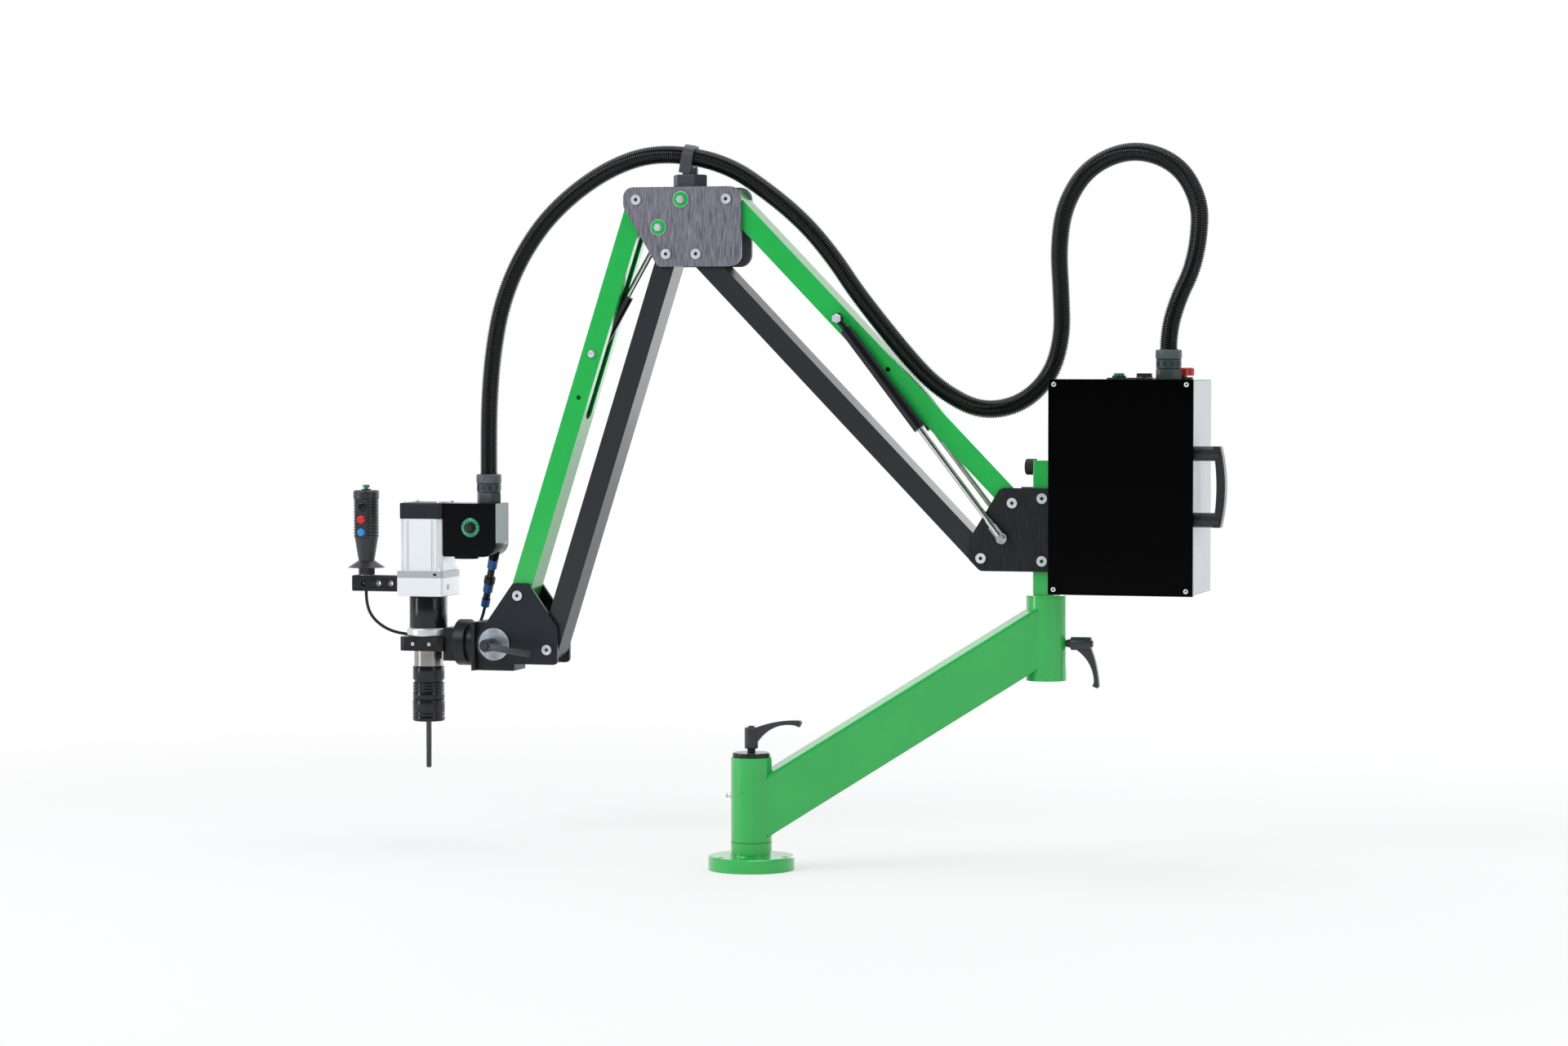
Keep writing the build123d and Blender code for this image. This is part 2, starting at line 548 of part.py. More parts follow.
# ================================================================ hose clip on the elbow
clip_x, clip_nut_low, clip_nut_high, clip_hose_z = tie_mid.X + 6, 26, 22, 83
clip_band, clip_band_wide, clip_band_play = 4, 22, 0.5
clip_dir = Vector(-cos(radians(clip_lean)), 0, sin(radians(clip_lean)))
clip_at = Vector(clip_x, col_y, tie_mid.Z + clip_hose_z)
with BuildPart() as hose_clip:
    with BuildSketch(Plane.XY.offset(tie_mid.Z + clip_nut_low)):
        with Locations((clip_x, col_y)):
            RegularPolygon(29, 6, major_radius=False)
    extrude(amount=clip_nut_high)
    fillet(hose_clip.edges().group_by(Axis.Z)[-1], 3)
    with Locations((clip_x, col_y, tie_mid.Z - 12)):
        Box(44, plate_gap - 1, clip_nut_low + 12, align=(Align.CENTER, Align.CENTER, Align.MIN))
    with Locations((clip_x, col_y, tie_mid.Z + clip_nut_low + clip_nut_high)):
        Cylinder(15, 12, align=(Align.CENTER, Align.CENTER, Align.MIN))
    band = hose_dia / 2 + clip_band_play
    with Locations(Plane(origin=(clip_x, col_y, tie_mid.Z + clip_hose_z), z_dir=tuple(clip_dir))):
        Cylinder(band + clip_band, clip_band_wide)
        Cylinder(band, clip_band_wide + 40, mode=Mode.SUBTRACT)
    cross_hole(tie_mid, spring_pin_dia + 2 * seat_gap)
hose_clip.part.label = "hose_clip"
export_step(hose_clip.part, "parts/hose_clip.step")


# ================================================================ gas springs
def spring_body(pin, direction, out, body_long):
    """The cylinder of a gas spring with its eye on a pin, hollow for its rod."""
    start = Vector(pin.X, col_y - out, pin.Z)
    with Locations(across(pin, out)):
        Cylinder(eye_dia / 2, eye_thick)
    with Locations(Plane(origin=start + direction * 6, z_dir=direction)):
        Cylinder(6, 24, align=(Align.CENTER, Align.CENTER, Align.MIN))
    with Locations(Plane(origin=start + direction * 26, z_dir=direction)):
        Cylinder(spring_body_dia / 2, body_long - 26, align=(Align.CENTER, Align.CENTER, Align.MIN))
    bore = body_long - 40
    with Locations(Plane(origin=start + direction * body_long, z_dir=direction)):
        Cylinder(spring_rod_dia / 2 + pin_play, bore, mode=Mode.SUBTRACT,
                 align=(Align.CENTER, Align.CENTER, Align.MAX))
    with Locations(across(pin, out)):
        Cylinder(spring_pin_dia / 2 - 0.5, 3 * eye_thick, mode=Mode.SUBTRACT)


def spring_rod(end, direction, out, rod_long, thick=eye_thick):
    """The rod of a gas spring with its zinc eye on a stud."""
    start = Vector(end.X, col_y - out, end.Z)
    with Locations(across(end, out)):
        Cylinder(eye_dia / 2, thick)
    with Locations(Plane(origin=start, z_dir=-direction)):
        Box(eye_dia - 5, thick, eye_long - 14, align=(Align.CENTER, Align.CENTER, Align.MIN))
        Cylinder(7, eye_long, align=(Align.CENTER, Align.CENTER, Align.MIN))
        Cylinder(spring_rod_dia / 2, rod_long, align=(Align.CENTER, Align.CENTER, Align.MIN))


rear_eye_to_eye = (stud - rear_pin).length
rear_rod_long = rear_eye_to_eye - spring_body_long + 90
with BuildPart() as rear_spring_cylinders:
    for side in (1, -1):
        spring_body(rear_pin, rear_spring_dir, side * spring_out, spring_body_long)
    # one pin through the arm carries both
    cross_pin(rear_pin, spring_pin_dia, spring_out + eye_thick / 2)
    for side in (1, -1):
        bolt_head(rear_pin, spring_out + eye_thick / 2, side, dia=16, high=4)
rear_spring_cylinders.part.label = "rear_spring_cylinders"
export_step(rear_spring_cylinders.part, "parts/rear_spring_cylinders.step")

with BuildPart() as rear_spring_rods:
    for side in (1, -1):
        spring_rod(stud, rear_spring_dir, side * spring_out, rear_rod_long)
        # the stud ends just clear of the bracket's plate
        with Locations(across(stud, side * (plate_out + turn_gap + 1))):
            Cylinder(8, 2)
        with Locations(across(stud, side * (plate_out + turn_gap + 10))):
            Cylinder(spring_pin_dia / 2, 20)
        with BuildSketch(arm_plane(side * (spring_out + eye_thick / 2))):
            with Locations((stud.X, stud.Z)):
                RegularPolygon(6.5, 6, major_radius=False)
        extrude(amount=side * 5)
rear_spring_rods.part.label = "rear_spring_rods"
export_step(rear_spring_rods.part, "parts/rear_spring_rods.step")

front_eye_to_eye = (tie_low - front_pin).length
front_rod_long = front_eye_to_eye - front_body_long + 62
with BuildPart() as front_spring_cylinder:
    spring_body(front_pin, front_spring_dir, 0, front_body_long)
    cross_pin(front_pin, spring_pin_dia, tube_deep / 2 + 0.5)
    for side in (1, -1):
        bolt_head(front_pin, tube_deep / 2 + turn_gap, side, dia=15, high=4)
front_spring_cylinder.part.label = "front_spring_cylinder"
export_step(front_spring_cylinder.part, "parts/front_spring_cylinder.step")

with BuildPart() as front_spring_rod:
    spring_rod(tie_low, front_spring_dir, 0, front_rod_long)
    with Locations(across(tie_low)):
        Cylinder(front_eye_dia / 2, 20)
        Cylinder(spring_pin_dia / 2 + front_eye_play, 30, mode=Mode.SUBTRACT)
front_spring_rod.part.label = "front_spring_rod"
export_step(front_spring_rod.part, "parts/front_spring_rod.step")

# ================================================================ head plates and tilting block
with BuildPart() as head_plates:
    for near in (1, -1):
        inner = plate_gap / 2 if near == 1 else -plate_out
        with BuildSketch(arm_plane(inner)) as outline:
            x, z = H_up.X, H_up.Z
            with BuildLine():
                Polyline((x - 10, z + 24), (x + 22, z + 24), (x + link_x + 21, z - 60),
                         (x + link_x + 21, tilt.Z - tilt_round), (tilt.X, tilt.Z - tilt_round),
                         (tilt.X - 33, tilt.Z + 19), close=True)
            make_face()
            fillet(outline.vertices().group_by(Axis.Y)[-1], 11)
            right = outline.vertices().sort_by(Axis.X)[-2:]
            fillet(right, 9)
            with Locations((tilt.X, tilt.Z)):
                Circle(tilt_round)
        extrude(amount=plate_thick)
    for p in (H_up, H_low):
        cross_hole(p, pin_dia + 2 * seat_gap)
    cross_hole(tilt, pin_dia + 2 * pin_play)
head_plates.part.label = "head_plates"
export_step(head_plates.part, "parts/head_plates.step")

with BuildPart() as head_bolts:
    for p in (H_up, H_low):
        cross_pin(p, pin_dia, plate_out)
        for side in (1, -1):
            bolt_head(p, plate_out, side)
head_bolts.part.label = "head_bolts"
export_step(head_bolts.part, "parts/head_bolts.step")

block_half = plate_gap / 2 - turn_gap
face_x = tilt.X - tilt_round - 1.5       # inner side of the block's square face
with BuildPart() as tilt_block:
    with BuildSketch(arm_plane()):
        with Locations(((face_x + tilt.X + block_front) / 2, tilt.Z + (block_high - block_low) / 2)):
            Rectangle(tilt.X + block_front - face_x, block_high + block_low)
    extrude(amount=block_half, both=True)
    fillet(tilt_block.edges().filter_by(Axis.Y).group_by(Axis.X)[-1], 3)
    with Locations((face_x - face_thick / 2, col_y, tilt.Z + (block_high - block_low) / 2)):
        Box(face_thick, face_wide, block_high + block_low)
    cross_hole(tilt, pin_dia + 2 * seat_gap)
    with Locations(Plane(origin=(face_x - face_thick, col_y, tilt.Z), z_dir=(-1, 0, 0))):
        Hole(swivel_pin_dia / 2 + pin_play, depth=swivel_pin_long + 1)
tilt_block.part.label = "tilt_block"
export_step(tilt_block.part, "parts/tilt_block.step")

# the clamping discs turn with the block, and the tilt axle runs through them
with BuildPart() as tilt_disc:
    for side in (1, -1):
        with Locations(across(tilt, side * (plate_out + turn_gap + disc_thick / 2))):
            Cylinder(disc_dia / 2, disc_thick)
    chamfer(tilt_disc.edges().filter_by(GeomType.CIRCLE), 1)
    cross_pin(tilt, pin_dia, plate_out + turn_gap + disc_thick)
    with Locations(across(tilt, plate_out + 2 * turn_gap + disc_thick)):
        Cylinder(tilt_stud_dia / 2 + pin_play, 2 * (tilt_stud_in + 1), mode=Mode.SUBTRACT)
    bolt_head(tilt, plate_out + turn_gap + disc_thick, -1)
tilt_disc.part.label = "tilt_disc"
export_step(tilt_disc.part, "parts/tilt_disc.step")

handle_dip = radians(8)
head_lever = clamp_lever(
    Plane(origin=(tilt.X, col_y - plate_out - 2 * turn_gap - disc_thick, tilt.Z),
          x_dir=(cos(handle_dip), 0, -sin(handle_dip)), z_dir=(0, -1, 0)), tilt_stud_in, tilt_stud_dia)
head_lever.part.label = "head_lever"
export_step(head_lever.part, "parts/head_lever.step")

# ================================================================ swivel and head clamp
swivel_x = face_x - face_thick - turn_gap
with BuildPart() as swivel_flange:
    with Locations(Plane(origin=(swivel_x, col_y, tilt.Z), z_dir=(-1, 0, 0))):
        Cylinder(swivel_neck_dia / 2, swivel_long, align=(Align.CENTER, Align.CENTER, Align.MIN))
        Cylinder(swivel_pin_dia / 2, swivel_pin_long, align=(Align.CENTER, Align.CENTER, Align.MAX))
    with Locations(Plane(origin=(swivel_x - swivel_long + swivel_thick, col_y, tilt.Z), z_dir=(-1, 0, 0))):
        Cylinder(swivel_dia / 2, swivel_thick, align=(Align.CENTER, Align.CENTER, Align.MIN))
    fillet(swivel_flange.edges().filter_by(GeomType.CIRCLE).group_by(SortBy.RADIUS)[-1], 2)
swivel_flange.part.label = "swivel_flange"
export_step(swivel_flange.part, "parts/swivel_flange.step")

nose_dia = gear_dia - 4
boss_right, boss_left = swivel_x - swivel_long, spin.X + ring_dia / 2 + 0.5
with BuildPart() as head_clamp:
    with Locations((spin.X, col_y, clamp_bottom)):
        Box(clamp_wide, clamp_deep, clamp_high, align=(Align.CENTER, Align.CENTER, Align.MIN))
    fillet(head_clamp.edges().filter_by(Axis.Z), 14)
    with Locations((boss_right, col_y, tilt.Z - 3)):
        Box(boss_right - boss_left, boss_deep, boss_high, align=(Align.MAX, Align.CENTER, Align.CENTER))
    with Locations((spin.X, col_y, clamp_bottom)):
        Cylinder(nose_dia / 2 + seat_gap, 3 * clamp_high, mode=Mode.SUBTRACT)
    with Locations((spin.X - clamp_wide / 2, col_y, clamp_bottom + clamp_high / 2)):
        Box(40, clamp_slot, clamp_high, mode=Mode.SUBTRACT)
    for x in (-17, 17):
        with Locations(Plane(origin=(spin.X + x, col_y - clamp_deep / 2, tilt.Z - 3), z_dir=(0, -1, 0))):
            Hole(3.2, depth=6)
head_clamp.part.label = "head_clamp"
export_step(head_clamp.part, "parts/head_clamp.step")

with BuildPart() as gearbox_ring:
    with Locations((spin.X, col_y, clamp_top)):
        Cylinder(ring_dia / 2, ring_high, align=(Align.CENTER, Align.CENTER, Align.MIN))
        fillet(gearbox_ring.edges().filter_by(GeomType.CIRCLE), 4)
        Cylinder(nose_dia / 2 + seat_gap, 2 * ring_high, mode=Mode.SUBTRACT)
gearbox_ring.part.label = "gearbox_ring"
export_step(gearbox_ring.part, "parts/gearbox_ring.step")

with BuildPart() as gearbox:
    with Locations((spin.X, col_y, ring_top)):
        Cylinder(gear_dia / 2, gear_long, align=(Align.CENTER, Align.CENTER, Align.MIN))
        Cylinder(nose_dia / 2, ring_top - clamp_bottom, align=(Align.CENTER, Align.CENTER, Align.MAX))
    with Locations((spin.X, col_y, clamp_bottom)):
        Cylinder(quill_bore / 2 + pin_play, 2 * 66, mode=Mode.SUBTRACT)
gearbox.part.label = "gearbox"
export_step(gearbox.part, "parts/gearbox.step")

with BuildPart() as gear_housing:
    with Locations((spin.X, col_y, gear_top)):
        Box(housing_size, housing_size, housing_high, align=(Align.CENTER, Align.CENTER, Align.MIN))
    chamfer(gear_housing.edges().filter_by(Axis.Z), 4)
    chamfer(gear_housing.edges().group_by(Axis.Z)[0], 1.5)
    with Locations(Plane(origin=(spin.X + housing_size / 2, col_y - 18, gear_top + 18), z_dir=(1, 0, 0))):
        Hole(6, depth=5)
gear_housing.part.label = "gear_housing"
export_step(gear_housing.part, "parts/gear_housing.step")

with BuildPart() as motor_body:
    with Locations((spin.X, col_y, housing_top)):
        Box(housing_size, housing_size, mflange_high, align=(Align.CENTER, Align.CENTER, Align.MIN))
    chamfer(motor_body.edges().filter_by(Axis.Z), 4)
    with Locations((spin.X, col_y, mflange_top)):
        Box(motor_size, motor_size, motor_high, align=(Align.CENTER, Align.CENTER, Align.MIN))
    corners = motor_body.edges().filter_by(Axis.Z).filter_by(lambda e: e.length > motor_high - 1)
    chamfer(corners, 11)
    with Locations((spin.X, col_y, mflange_top)):
        with GridLocations(housing_size - 17, housing_size - 17, 2, 2):
            Cylinder(4, 6, align=(Align.CENTER, Align.CENTER, Align.MIN))
            Cylinder(2, 12, mode=Mode.SUBTRACT)
motor_body.part.label = "motor_body"
export_step(motor_body.part, "parts/motor_body.step")

with BuildPart() as motor_cap:
    with Locations((spin.X, col_y, motor_top)):
        Box(motor_size, motor_size, mcap_high, align=(Align.CENTER, Align.CENTER, Align.MIN))
    chamfer(motor_cap.edges().filter_by(Axis.Z), 5)
    chamfer(motor_cap.edges().group_by(Axis.Z)[-1], 1.5)
motor_cap.part.label = "motor_cap"
export_step(motor_cap.part, "parts/motor_cap.step")

cbox_left = spin.X + motor_size / 2
dial_at = Vector(cbox_left + dial_x, col_y - cbox_deep / 2, mcap_top + dial_z)
mgland_x = cbox_left + 83
plug_start = Vector(spin.X + 100.6, col_y + 46.5, tilt.Z + 69)
plug_end = plug_start + Vector(32, -37.5, 94.5)
plug_dir = (plug_end - plug_start).normalized()
with BuildPart() as connector_box:
    with BuildSketch(arm_plane()) as outline:
        with Locations((cbox_left + cbox_long / 2, mcap_top - cbox_high / 2)):
            Rectangle(cbox_long, cbox_high)
        low_right = outline.vertices().sort_by(Axis.X)[-2:].sort_by(Axis.Y)[0]
        fillet(low_right, cbox_round)
        low_left = outline.vertices().sort_by(Axis.X)[:2].sort_by(Axis.Y)[0]
        fillet(low_left, 5)
    extrude(amount=cbox_deep / 2, both=True)
    with Locations((cbox_left + 36, col_y, mcap_top - cbox_high)):
        Cylinder(24, 5, align=(Align.CENTER, Align.CENTER, Align.MAX))
    with Locations(Plane(origin=plug_end, z_dir=plug_dir)):
        Cylinder(socket_dia / 2, 16, align=(Align.CENTER, Align.CENTER, Align.MIN))
    with Locations(Plane(origin=dial_at, z_dir=(0, -1, 0))):
        Hole(3 + pin_play, depth=14)
    with Locations((mgland_x, col_y, mcap_top)):
        Hole(gland_in + 4 + seat_gap, depth=box_wall + 9)
connector_box.part.label = "connector_box"
export_step(connector_box.part, "parts/connector_box.step")

with BuildPart() as speed_knob:
    with Locations(Plane(origin=(dial_at.X, dial_at.Y - turn_gap - 1, dial_at.Z), z_dir=(0, -1, 0))):
        Cylinder(knob_dia / 2, 5, align=(Align.CENTER, Align.CENTER, Align.MIN))
        Cylinder(knob_dia / 2 - 2, knob_high, align=(Align.CENTER, Align.CENTER, Align.MIN))
        Box(knob_dia - 1, 6, knob_high + 1, align=(Align.CENTER, Align.CENTER, Align.MIN))
        Cylinder(3, 14, align=(Align.CENTER, Align.CENTER, Align.MAX))
speed_knob.part.label = "speed_knob"
export_step(speed_knob.part, "parts/speed_knob.step")

motor_gland = hose_gland((mgland_x, col_y, mcap_top))
motor_gland.part.label = "motor_gland"
export_step(motor_gland.part, "parts/motor_gland.step")

# ================================================================ spindle, chuck and tap
with BuildPart() as spindle_nose:
    with Locations((spin.X, col_y, clamp_bottom - turn_gap)):
        Cylinder(quill_dia / 2, quill_long - turn_gap, align=(Align.CENTER, Align.CENTER, Align.MAX))
        Cylinder(quill_bore / 2, 62, align=(Align.CENTER, Align.CENTER, Align.MIN))
spindle_nose.part.label = "spindle_nose"
export_step(spindle_nose.part, "parts/spindle_nose.step")

with BuildPart() as chuck_body:
    with Locations((spin.X, col_y, quill_bottom)):
        Cylinder(chuck_dia / 2, chuck_shoulder, align=(Align.CENTER, Align.CENTER, Align.MAX))
        chamfer(chuck_body.edges().filter_by(GeomType.CIRCLE).sort_by(Axis.Z)[-1], 2)
        Cylinder(chuck_core_dia / 2, chuck_long, align=(Align.CENTER, Align.CENTER, Align.MAX))
    with Locations((spin.X, col_y, chuck_bottom)):
        Cylinder(holder_shank_dia / 2 + pin_play, 2 * (holder_shank_long + 2), mode=Mode.SUBTRACT)
chuck_body.part.label = "chuck_body"
export_step(chuck_body.part, "parts/chuck_body.step")

sleeve_long = chuck_long - chuck_shoulder - release_travel - 0.5
with BuildPart() as chuck_sleeve:
    with Locations((spin.X, col_y, chuck_bottom)):
        Cylinder(chuck_dia / 2, sleeve_long, align=(Align.CENTER, Align.CENTER, Align.MIN))
        for z in (sleeve_long - 6, sleeve_long - 12, sleeve_long - 18):
            with Locations((0, 0, z)):
                with BuildSketch(Plane((spin.X, col_y, chuck_bottom + z))):
                    Circle(chuck_dia / 2)
                    Circle(chuck_dia / 2 - 1.2, mode=Mode.SUBTRACT)
                extrude(amount=2.4, mode=Mode.SUBTRACT)
        Cylinder(chuck_core_dia / 2 + pin_play, 3 * sleeve_long, mode=Mode.SUBTRACT)
chuck_sleeve.part.label = "chuck_sleeve"
export_step(chuck_sleeve.part, "parts/chuck_sleeve.step")

with BuildPart() as tap_holder:
    top = chuck_bottom - turn_gap
    with Locations((spin.X, col_y, top)):
        Cylinder(holder_dia / 2, holder_long, align=(Align.CENTER, Align.CENTER, Align.MAX))
        chamfer(tap_holder.edges().filter_by(GeomType.CIRCLE), 2)
        Cylinder(holder_shank_dia / 2, holder_shank_long, align=(Align.CENTER, Align.CENTER, Align.MIN))
    for z in (10, 16):
        with BuildSketch(Plane((spin.X, col_y, holder_bottom + z))):
            Circle(holder_dia / 2)
            Circle(holder_dia / 2 - 1, mode=Mode.SUBTRACT)
        extrude(amount=2, mode=Mode.SUBTRACT)
    with Locations((spin.X, col_y, holder_bottom)):
        Cylinder(tap_dia / 2 + seat_gap, 2 * 30, mode=Mode.SUBTRACT)
tap_holder.part.label = "tap_holder"
export_step(tap_holder.part, "parts/tap_holder.step")

# a machine tap: a round shank and three flutes cut along its thread
thread_pitch = 1.5
with BuildPart() as tap:
    with Locations((spin.X, col_y, holder_bottom - tap_out)):
        Cylinder(tap_dia / 2, tap_out + 28, align=(Align.CENTER, Align.CENTER, Align.MIN))
    chamfer(tap.edges().filter_by(GeomType.CIRCLE).sort_by(Axis.Z)[0], 2)
    for i in range(int((tap_thread_long - 4) / thread_pitch)):
        with BuildSketch(Plane((spin.X, col_y, holder_bottom - tap_out + 3 + i * thread_pitch))):
            Circle(tap_dia / 2 + 1)
            Circle(tap_dia / 2 - 0.6, mode=Mode.SUBTRACT)
        extrude(amount=thread_pitch / 2, mode=Mode.SUBTRACT)
    with BuildSketch(Plane((spin.X, col_y, holder_bottom - tap_out))):
        with PolarLocations(tap_dia / 2 + 0.5, 3):
            Circle(tap_core_dia / 2 + 0.5)
    extrude(amount=tap_thread_long, mode=Mode.SUBTRACT)
tap.part.label = "tap"
export_step(tap.part, "parts/tap.step")

# ================================================================ grip
bar_z = mflange_top - mflange_high - housing_high / 2 + 4
bar_right = spin.X - housing_size / 2
bar_top = bar_z + bar_high / 2
grip_x = bar_right - 82
with BuildPart() as grip_bar:
    with Locations((bar_right, col_y, bar_z)):
        Box(bar_long, bar_deep, bar_high, align=(Align.MAX, Align.CENTER, Align.CENTER))
    chamfer(grip_bar.edges().filter_by(Axis.Y), 2)
    for x in (28, 54, 82):
        cross_hole(Vector(bar_right - x, 0, bar_z), bar_hole_dia)
    with Locations((grip_x, col_y, bar_top)):
        Hole(5 + seat_gap, depth=bar_high)
grip_bar.part.label = "grip_bar"
export_step(grip_bar.part, "parts/grip_bar.step")

pad_wide, pad_out = 23, grip_dia / 2 + 1.5
start_stem_dia, start_head_dia, start_head_high = 8, 14, 6
button_low, button_pitch, button_dias = 64, 25, (16, 16.6, 19)
with BuildPart(Plane((grip_x, col_y, bar_top))) as grip:
    z = 1
    Cylinder(12, 1, align=(Align.CENTER, Align.CENTER, Align.MIN))
    with BuildSketch(Plane((grip_x, col_y, bar_top + z))):
        RegularPolygon(15, 6, major_radius=False)
    extrude(amount=grip_nut_high)
    z += grip_nut_high
    with Locations((0, 0, z)):
        Cone(grip_flare_dia / 2, grip_neck_dia / 2, grip_flare_high,
             align=(Align.CENTER, Align.CENTER, Align.MIN))
    z += grip_flare_high
    with Locations((0, 0, z - 1)):
        Cone(grip_neck_dia / 2, grip_dia / 2 - 1.6, grip_taper_long + 1,
             align=(Align.CENTER, Align.CENTER, Align.MIN))
    z += grip_taper_long
    grip_pitch = grip_rib_long / grip_rib_count
    with Locations((0, 0, z)):
        Cylinder(grip_dia / 2 - 1.6, grip_rib_long, align=(Align.CENTER, Align.CENTER, Align.MIN))
    with Locations(*[(0, 0, z + (i + 0.3) * grip_pitch) for i in range(grip_rib_count)]):
        Cylinder(grip_dia / 2, grip_pitch * 0.6, align=(Align.CENTER, Align.CENTER, Align.MIN))
    rib_start = z
    z += grip_rib_long
    with Locations((0, 0, z)):
        Cylinder(grip_dia / 2 + 1, grip_cap_high, align=(Align.CENTER, Align.CENTER, Align.MIN))
        fillet(grip.edges().filter_by(GeomType.CIRCLE).sort_by(Axis.Z)[-1], 4)
    grip_top = z + grip_cap_high
    with Locations((0, 0, grip_top)):
        Cylinder(start_head_dia / 2 + 2.5, 2.5, align=(Align.CENTER, Align.CENTER, Align.MIN))
        Hole(start_stem_dia / 2 + pin_play, depth=14)
    # the buttons stand in a smooth pad on the grip's front
    with Locations((0, -pad_out, rib_start + grip_rib_long / 2)):
        Box(pad_wide, pad_out, grip_rib_long - 3, align=(Align.CENTER, Align.MIN, Align.CENTER))
    for i, dia in enumerate(button_dias):
        at = Plane(origin=(grip_x, col_y - pad_out, bar_top + rib_start + 12 + i * button_pitch),
                   z_dir=(0, -1, 0))
        with BuildSketch(at):
            Circle(dia / 2 + button_fit)
        extrude(amount=-(button_travel + 4), mode=Mode.SUBTRACT)
    grip_bottom_pipe = 5
    with BuildSketch(Plane((grip_x, col_y, bar_top))):
        Circle(grip_bottom_pipe)
    extrude(amount=-bar_high + 2)
grip.part.label = "grip"
export_step(grip.part, "parts/grip.step")

button_out = 4.5


def grip_button(order):
    """A push button in the grip's pad, counted from the lowest."""
    at = Plane(origin=(grip_x, col_y - pad_out, bar_top + rib_start + 12 + order * button_pitch),
               z_dir=(0, -1, 0))
    with BuildPart(at) as button:
        with Locations((0, 0, -button_travel - 1.3)):
            Cylinder(button_dias[order] / 2, button_out + button_travel + 1.3,
                     align=(Align.CENTER, Align.CENTER, Align.MIN))
        fillet(button.edges().filter_by(GeomType.CIRCLE).sort_by(Axis.Y)[0], 3.5)
    return button


grip_blue_button = grip_button(0)
grip_blue_button.part.label = "grip_blue_button"
export_step(grip_blue_button.part, "parts/grip_blue_button.step")
grip_red_button = grip_button(1)
grip_red_button.part.label = "grip_red_button"
export_step(grip_red_button.part, "parts/grip_red_button.step")
grip_black_button = grip_button(2)
grip_black_button.part.label = "grip_black_button"
export_step(grip_black_button.part, "parts/grip_black_button.step")

with BuildPart(Plane((grip_x, col_y, bar_top + grip_top + 2.5 + button_travel + 0.2))) as grip_start_button:
    Cylinder(start_head_dia / 2, start_head_high, align=(Align.CENTER, Align.CENTER, Align.MIN))
    fillet(grip_start_button.edges().filter_by(GeomType.CIRCLE).sort_by(Axis.Z)[-1], 3)
    Cylinder(start_stem_dia / 2, 12, align=(Align.CENTER, Align.CENTER, Align.MAX))
grip_start_button.part.label = "grip_start_button"
export_step(grip_start_button.part, "parts/grip_start_button.step")

# ================================================================ cable of the grip
def cord_radii(points):
    """The largest arcs that the runs of a route allow."""
    radii = []
    for before, at, after in zip(points, points[1:], points[2:]):
        turn = radians((at - before).get_angle(after - at))
        radii.append(0.45 * min((at - before).length, (after - at).length) / tan(turn / 2))
    return radii


def route(first, steps, last):
    """A route from its steps (along X, along Y, along Z), each taken from the point before."""
    points = [first]
    for x, y, z in steps:
        points.append(points[-1] + Vector(x, y, z))
    return points + last


cable_start = Vector(grip_x - 1, col_y, bar_z - bar_high / 2)
cable_points = route(cable_start, [(0, 0, -28), (14, 6, -30), (29, 13, -22), (36, 20, -8),
                                   (38, 17, -5), (42, 9, -5), (38, 1, 7)],
                     [plug_start - plug_dir * 30, plug_start])
with BuildPart() as grip_cable:
    with BuildLine():
        FilletPolyline(*cable_points, radius=cord_radii(cable_points))
    with BuildSketch(Plane(origin=tuple(cable_start), z_dir=(0, 0, -1))):
        Circle(cable_dia / 2)
    sweep()
grip_cable.part.label = "grip_cable"
export_step(grip_cable.part, "parts/grip_cable.step")

plug_stack = ((19, 0.19), (14, 0.40), (22, 0.51), (19, 0.69), (14, 0.845), (17, 1.0))
plug_long = (plug_end - plug_start).length
with BuildPart() as cable_connectors:
    top = 0.0
    for dia, share in plug_stack:
        with Locations(Plane(origin=tuple(plug_end - plug_dir * plug_long * top),
                             z_dir=tuple(-plug_dir))):
            Cylinder(dia / 2, plug_long * (share - top), align=(Align.CENTER, Align.CENTER, Align.MIN))
        top = share
cable_connectors.part.label = "cable_connectors"
export_step(cable_connectors.part, "parts/cable_connectors.step")

# ================================================================ hose
# The hose is limp. It rises from the control box, loops over and behind the arms, rides along the
# rear arm to the clip on the elbow and drops to the motor.
top_end = Vector(gland_x, col_y, box_top + gland_top)
motor_end = Vector(mgland_x, col_y, mcap_top + gland_top)
meet = Vector(182, col_y, 1013)          # where the loop's node ends and the rear arm's begins
loop_points = [top_end, top_end + Vector(0, 0, 36)] + [
    Vector(x, col_y + y, z) for x, y, z in (
        (752.5, 2, 1061), (775, 7, 1108), (787, 14, 1168), (787, 25, 1238), (742, 43, 1310),
        (655, 59, 1340), (567, 74, 1309), (517, 88, 1239), (502, 100, 1157), (506, 108, 1068),
        (508, 110, 987), (487, 103, 912), (436, 77, 859), (366, 42, 846), (300, 12, 884),
        (246, 0, 936))] + [meet]
rear_points = [meet, meet + (meet - loop_points[-2]).normalized() * 69] + [Vector(x, col_y, z) for x, z in (
    (92, 1134), (37, 1199), (-30, 1256))] + [clip_at - clip_dir * 72.5, clip_at]
front_points = [clip_at, clip_at + clip_dir * 62] + [Vector(x, col_y, z) for x, z in (
    (-364, 1312), (-470, 1237), (-538, 1150), (-580, 1056), (-599, 960), (-607, 868))] + [
    motor_end + Vector(0, 0, 70), motor_end]


